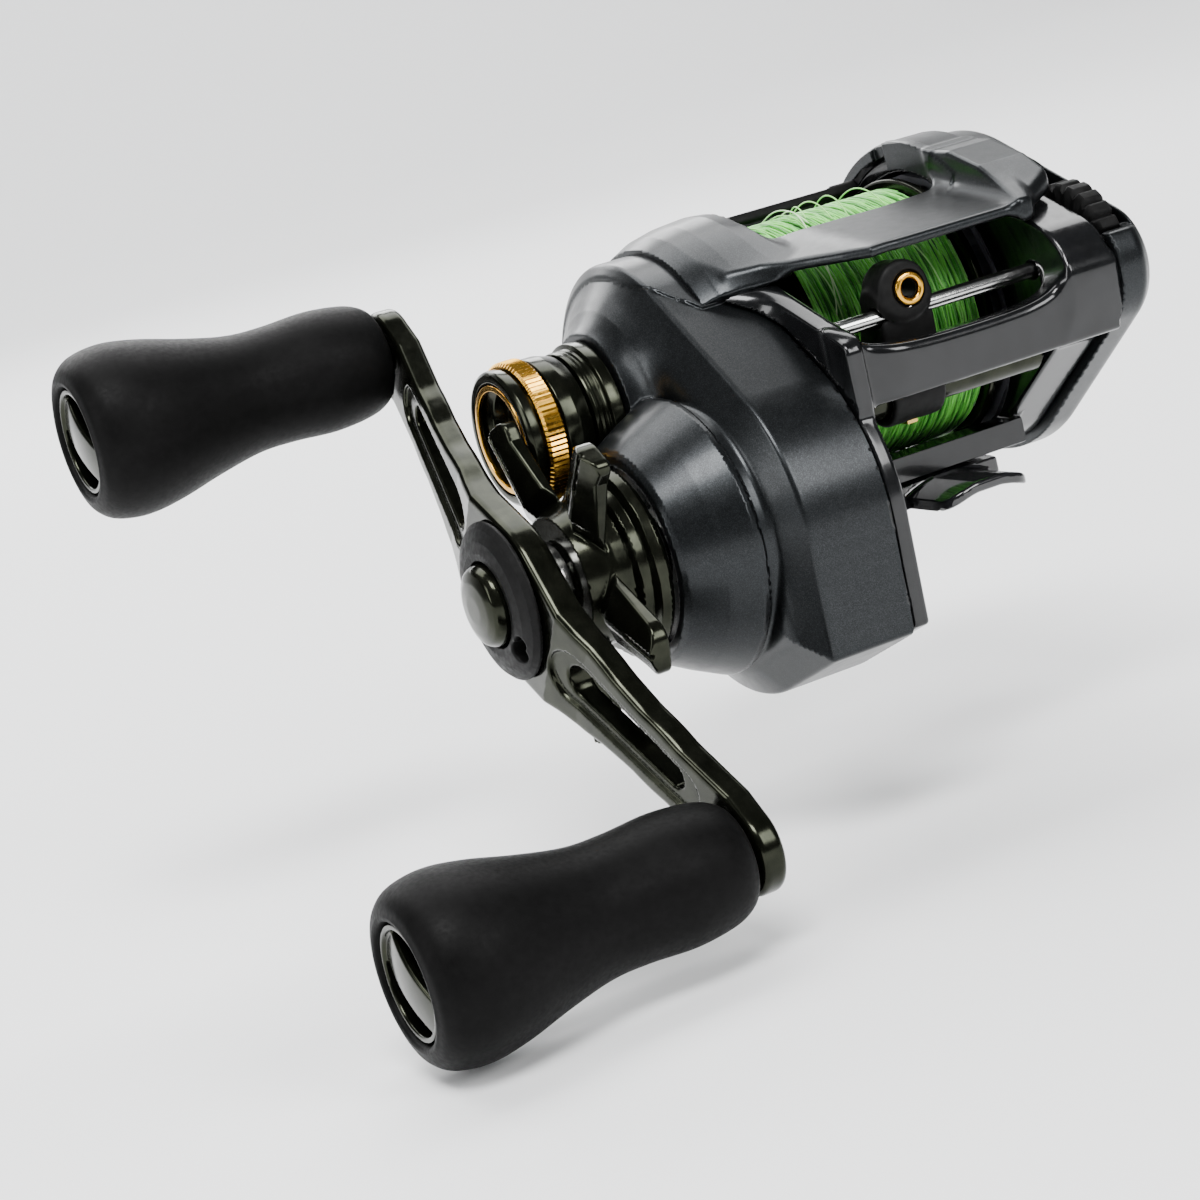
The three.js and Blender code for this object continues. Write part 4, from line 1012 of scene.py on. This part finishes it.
def tubes(name, routes, radius, shades, sides=5):
    """One mesh of thin round strands, each with its own value in the attribute strand."""
    points, faces, shade = [], [], []
    ring = [(math.cos(2 * math.pi * k / sides), math.sin(2 * math.pi * k / sides)) for k in range(sides)]
    for route, level in zip(routes, shades):
        route = np.asarray(route, float)
        along = np.gradient(route, axis=0)
        along /= np.linalg.norm(along, axis=1)[:, None]
        away = route * np.array([0, 1, 1])
        away -= (away * along).sum(1)[:, None] * along
        away /= np.maximum(np.linalg.norm(away, axis=1), 1e-6)[:, None]
        side = np.cross(along, away)
        first = len(points)
        for centre, n, s in zip(route, away, side):
            points.extend(centre + radius * (c * n + d * s) for c, d in ring)
        shade.extend([level] * (len(route) * sides))
        for i in range(len(route) - 1):
            for k in range(sides):
                a, b = first + i * sides + k, first + i * sides + (k + 1) % sides
                faces.append((a, b, b + sides, a + sides))
        faces.append(tuple(first + k for k in reversed(range(sides))))
        last = first + (len(route) - 1) * sides
        faces.append(tuple(last + k for k in range(sides)))
    mesh = bpy.data.meshes.new(name)
    mesh.from_pydata(place(points).tolist(), [], faces)
    attribute = mesh.attributes.new("strand", "FLOAT", "POINT")
    attribute.data.foreach_set("value", np.array(shade, np.float32))
    mesh.shade_smooth()
    return mesh


LINE_TOP = 16.0
LINE_HALF = 10.9
PASSES = 30
TURNS_PER_PASS = 4.6
STEPS_PER_TURN = 44
STRAND = 0.15
LOOSE_STRAND = 0.09
LOOSE_FROM = 15.9
# Where loose strands lie: middle and span in degrees, height and how many.
LOOSE_GROUPS = ((100, 34, 1.6, 7), (146, 30, 1.0, 5), (262, 26, 0.9, 5))


def braid(draw):
    """Crossing wraps that run from flange to flange, as the level wind lays them."""
    routes, shades = [], []
    steps = int(TURNS_PER_PASS * STEPS_PER_TURN)
    for i in range(PASSES):
        start = 2 * math.pi * (i * 0.618 % 1)
        way = 1 if i % 2 else -1
        level = LINE_TOP - STRAND - 0.42 + 0.38 * i / PASSES
        wobble = draw.uniform(0.1, 0.35)
        waves = draw.uniform(1.3, 3.1)
        route = []
        for k in range(steps + 1):
            share = k / steps
            angle = start + way * 2 * math.pi * TURNS_PER_PASS * share
            x = (LINE_HALF - STRAND - 0.05) * (2 * share - 1) + wobble * math.sin(waves * angle + i)
            x = max(-LINE_HALF + STRAND, min(LINE_HALF - STRAND, x))
            route.append((x, level * math.cos(angle), level * math.sin(angle)))
        routes.append(route)
        shades.append(draw.choice((0.2, 0.35, 0.5, 0.6, 0.72, 0.8)) + draw.uniform(-0.1, 0.12))
    mesh = tubes("braid", routes, STRAND, shades)
    base_top = LINE_TOP - 0.62
    base = turned_mesh("base", SPOOL, [
        (-LINE_HALF, 10.0), (-LINE_HALF, base_top), (LINE_HALF, base_top), (LINE_HALF, 10.0)], 96)
    work = bmesh.new()
    work.from_mesh(mesh)
    work.from_mesh(base)
    work.to_mesh(mesh)
    work.free()
    register("braid", mesh, ["line_pack"])


def loose_strands(draw):
    """A few pale strands that arch off the wound line."""
    loose, pale = [], []
    for centre, spread, height, count in LOOSE_GROUPS:
        for _ in range(count):
            at = math.radians(centre + draw.uniform(-9, 9))
            span = math.radians(spread * draw.uniform(0.6, 1.1))
            x0 = draw.uniform(-8.5, 8.5)
            dx = draw.uniform(-2.2, 2.2)
            lift = height * draw.uniform(0.4, 1.0)
            route = []
            for t in np.linspace(0, 1, 22):
                level = LOOSE_FROM + lift * math.sin(math.pi * t)
                angle = at + span * (t - 0.5)
                route.append((x0 + dx * t, level * math.cos(angle), level * math.sin(angle)))
            loose.append(route)
            pale.append(draw.uniform(0.8, 1.0))
    piece = tubes("loose_strands", loose, LOOSE_STRAND, pale)
    stray = bpy.data.objects.new("loose_strands", piece)
    bpy.context.scene.collection.objects.link(stray)
    piece.materials.append(MATERIALS["green_braid"])
    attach(stray, "spool_group")


def line_on_spool():
    draw = random.Random(11)
    braid(draw)
    loose_strands(draw)


# ---------------------------------------------------------------- level wind and thumb bar


def line_guide(p):
    x, y, z = p[:, 0], p[:, 1], p[:, 2]
    sides = between(x, CARRIAGE_X - 3.6, CARRIAGE_X + 3.6)
    body = smooth_max(hull(y, z, [(-23.6, 5.4, 2.0), (*WORM, 3.9)]), sides, 0.5)
    eye = smooth_max(np.hypot(x - CARRIAGE_X, z - LINE_EYE[1]) - 3.45, between(y, -26.1, -21.8), 0.7)
    solid = smooth_min(body, eye, 1.0)
    solid = smooth_max(solid, -(np.hypot(y - WORM[0], z - WORM[1]) - 3.1), 0.2)
    solid = smooth_max(solid, -(np.hypot(y - GUIDE_BAR[0], z - GUIDE_BAR[1]) - 1.25), 0.15)
    from_eye = np.hypot(x - LINE_EYE[0], z - LINE_EYE[1])
    solid = smooth_max(solid, -np.minimum(from_eye - 1.2, np.maximum(from_eye - 2.15, y + 25.5)), 0.2)
    slot = block(p, (CARRIAGE_X - 1.1, CARRIAGE_X + 1.1), (WORM[0] - 1.1, WORM[0] + 1.1),
                 (WORM[1] - 6, WORM[1]))
    return smooth_max(solid, -slot, 0.15)


def line_eye():
    """The gold ring in the guide, turned about an axis along Y."""
    profile = rounded([
        (-26.35, 1.2), (-26.5, 1.45), (-26.4, 1.85), (-26.1, 1.95), (-25.8, 1.9), (-25.8, 1.1)], 0.1)
    points, segments = [], 48
    for i in range(segments):
        angle = 2 * math.pi * i / segments
        for y, r in profile:
            points.append((LINE_EYE[0] + r * math.cos(angle), y, LINE_EYE[1] + r * math.sin(angle)))
    mesh = bpy.data.meshes.new("line_eye_ring")
    mesh.from_pydata(place(points).tolist(), [], ring_faces(segments, len(profile)))
    clean(mesh)
    mesh.shade_smooth()
    register("line_eye_ring", mesh, ["line_eye"])


def thumb_bar(p):
    """The ribbed bar behind the spool, with the leg and pin that reach the clutch."""
    x, y, z = p[:, 0], p[:, 1], p[:, 2]
    angle = np.degrees(np.arctan2(z, y))
    bar = smooth_max(between(np.hypot(y, z), 17.7, 19.55), arc(angle, 46, 16, 18.6), 0.8)
    bar = smooth_max(bar, between(x, -14.8, 13.2), 0.8)
    groove = np.abs(((angle - 30) / 2.6) % 1 - 0.5) * 0.9
    bar = np.maximum(bar, np.hypot(y, z) - 19.25 - np.where(np.abs(x + 1) < 10, -0.12 * (groove > 0.3), 0.25))
    leg = np.maximum(hull(y, z, [(*THUMB_PIVOT, 1.6), (13.9, 12.2, 1.3)]), between(x, -14.8, -13.0))
    return np.minimum(smooth_min(bar, leg, 0.5), rod(p, THUMB_PIVOT, 1.0, -18.7, -13.5))


def worm_cover(p):
    """A thin tube round the worm, open below."""
    wall = between(np.hypot(p[:, 1] - WORM[0], p[:, 2] - WORM[1]), 2.1, 2.8)
    tube = np.maximum(wall, between(p[:, 0], -14.9, 13.3))
    slot = block(p, (-13.5, 12), (WORM[0] - 1.2, WORM[0] + 1.2), (WORM[1] - 4, WORM[1]))
    return smooth_max(tube, -slot, 0.15)


# ---------------------------------------------------------------- build

carve("side_plate_shell", "handle_side_plate", side_plate, (-41.4, -34.2, -36.6), (-17.2, 19.8, 18.4), 0.35)
carve("hood_shell", "hood", hood, (-24.1, -26.8, -1.0), (20.1, 20.2, 21.6), 0.32)
carve("frame_shell", "frame", frame_solid, (-24.6, -33.6, -36.0), (20.1, 19.3, 19.4), 0.33)
carve("foot_shell", "reel_foot", foot, (-6.9, -25.2, -20.3), (9.9, 31.2, -17.3), 0.35)
carve("palm_shell", "palm_side_plate", palm_plate, (20.2, -32.6, -20.4), (28.3, 20.4, 20.4), 0.35)

carve("handle_arm_blade", "handle_arm", handle_arm, (-57.3, -52.0, -48.0), (-48.8, 24.0, 18.0), 0.3)
carve("star_wheel", "star_drag", star_drag, (-50.4, -34.5, -35.5), (-41.7, 6.4, 5.4), 0.28)
for label, turn in (("upper", 0.0), ("lower", math.pi)):
    knob(label, turn)
line_on_spool()
revolve("spool_drum", "spool", SPOOL, [
    (-12.4, 5.0), (-12.4, 16.4), (-12.1, 16.9), (-11.3, 16.9), (-11.2, 16.6), (-11.2, 9.6), (11.2, 9.6),
    (11.2, 16.6), (11.3, 16.9), (12.1, 16.9), (12.4, 16.4), (12.4, 5.0), (10.0, 5.0), (10.0, 8.6), (0.6, 8.6),
    (0.6, 1.3), (-0.6, 1.3), (-0.6, 8.6), (-10.0, 8.6), (-10.0, 5.0)], 128, 0.1)
carve("line_guide_body", "line_guide", line_guide, (-8.7, -26.3, -8.9), (-1.3, -16.8, 10.6), 0.25)
line_eye()
carve("thumb_bar_pad", "thumb_bar", thumb_bar, (-18.8, 8.2, 6.2), (13.3, 17.2, 17.4), 0.3)
carve("worm_cover_tube", "worm_cover", worm_cover, (-15.0, -23.8, -7.7), (13.4, -18.0, -2.0), 0.22)
revolve("guide_rod", "guide_bar", GUIDE_BAR, [(-16.1, 0), (-16.1, 0.95), (15.1, 0.95), (15.1, 0)], 48)
carve("hub_disc", "hub_cover", hub_disc, (-59.5, DRIVE[0] - 9.4, DRIVE[1] - 9.4),
      (-57.4, DRIVE[0] + 9.4, DRIVE[1] + 9.4), 0.2)
revolve("hub_nut", "handle_nut", DRIVE, [
    (-57.5, 2.3), (-57.5, 4.8), (-59.9, 4.8), (-60.7, 4.3), (-61.1, 3.2), (-61.3, 1.6), (-61.3, 0),
    (-60.3, 0), (-60.3, 2.3)], 64, 0.3)
revolve("spacer_ring", "arm_spacer", DRIVE, [(-53.3, 3.3), (-53.3, 4.8), (-50.7, 4.8), (-50.7, 3.3)], 64)
revolve("collar_ring", "cap_collar", SPOOL, [
    (-34.7, 2.0), (-34.7, 8.7), (-36.2, 8.7), (-36.4, 8.1), (-36.7, 8.1), (-36.9, 7.8), (-37.2, 8.1),
    (-37.5, 7.8), (-37.8, 8.1), (-38.2, 8.0), (-38.2, 2.0)], 96, 0.08)
revolve("cap_body", "cast_control_cap", SPOOL, [
    (-38.6, 0), (-38.6, 7.9), (-40.4, 8.4), (-42.2, 8.4), (-42.2, 7.4), (-45.4, 7.4), (-45.4, 8.2),
    (-46.6, 8.2), (-47.0, 7.7), (-47.0, 6.9), (-46.2, 6.9), (-45.2, 5.4), (-43.4, 4.8), (-43.4, 0)], 96, 0.15)


KNURL_RIBS = 84
WHEEL_RIBS = 24


def knurl(angle, r):
    """Fine ribs across the ring's outer face."""
    return -0.16 * (abs((angle * KNURL_RIBS / math.pi) % 2 - 1)) if r > 8.4 else 0.0


revolve("knurled_ring", "cap_knurled_ring", SPOOL, [
    (-45.1, 7.7), (-45.1, 8.5), (-44.8, 8.8), (-42.8, 8.8), (-42.5, 8.5), (-42.5, 7.7)], 504, 0.0, knurl)
revolve("trim_ring", "cap_trim_ring", SPOOL, [
    (-47.0, 5.9), (-47.0, 6.6), (-46.5, 6.6), (-46.5, 5.9)], 96, 0.1)


def wheel_rib(angle, r):
    """Ribs round the brake wheel's rim."""
    return -0.55 * max(0.0, math.cos(WHEEL_RIBS * angle)) ** 2 if r > 7.5 else 0.0


revolve("brake_wheel", "brake_dial", DIAL, [
    (20.9, 2.0), (20.9, 7.9), (21.3, 8.4), (23.7, 8.4), (24.1, 7.9), (24.1, 6.4), (23.8, 6.0), (23.8, 3.2),
    (24.1, 2.8), (24.1, 2.0)], 288, 0.0, wheel_rib)
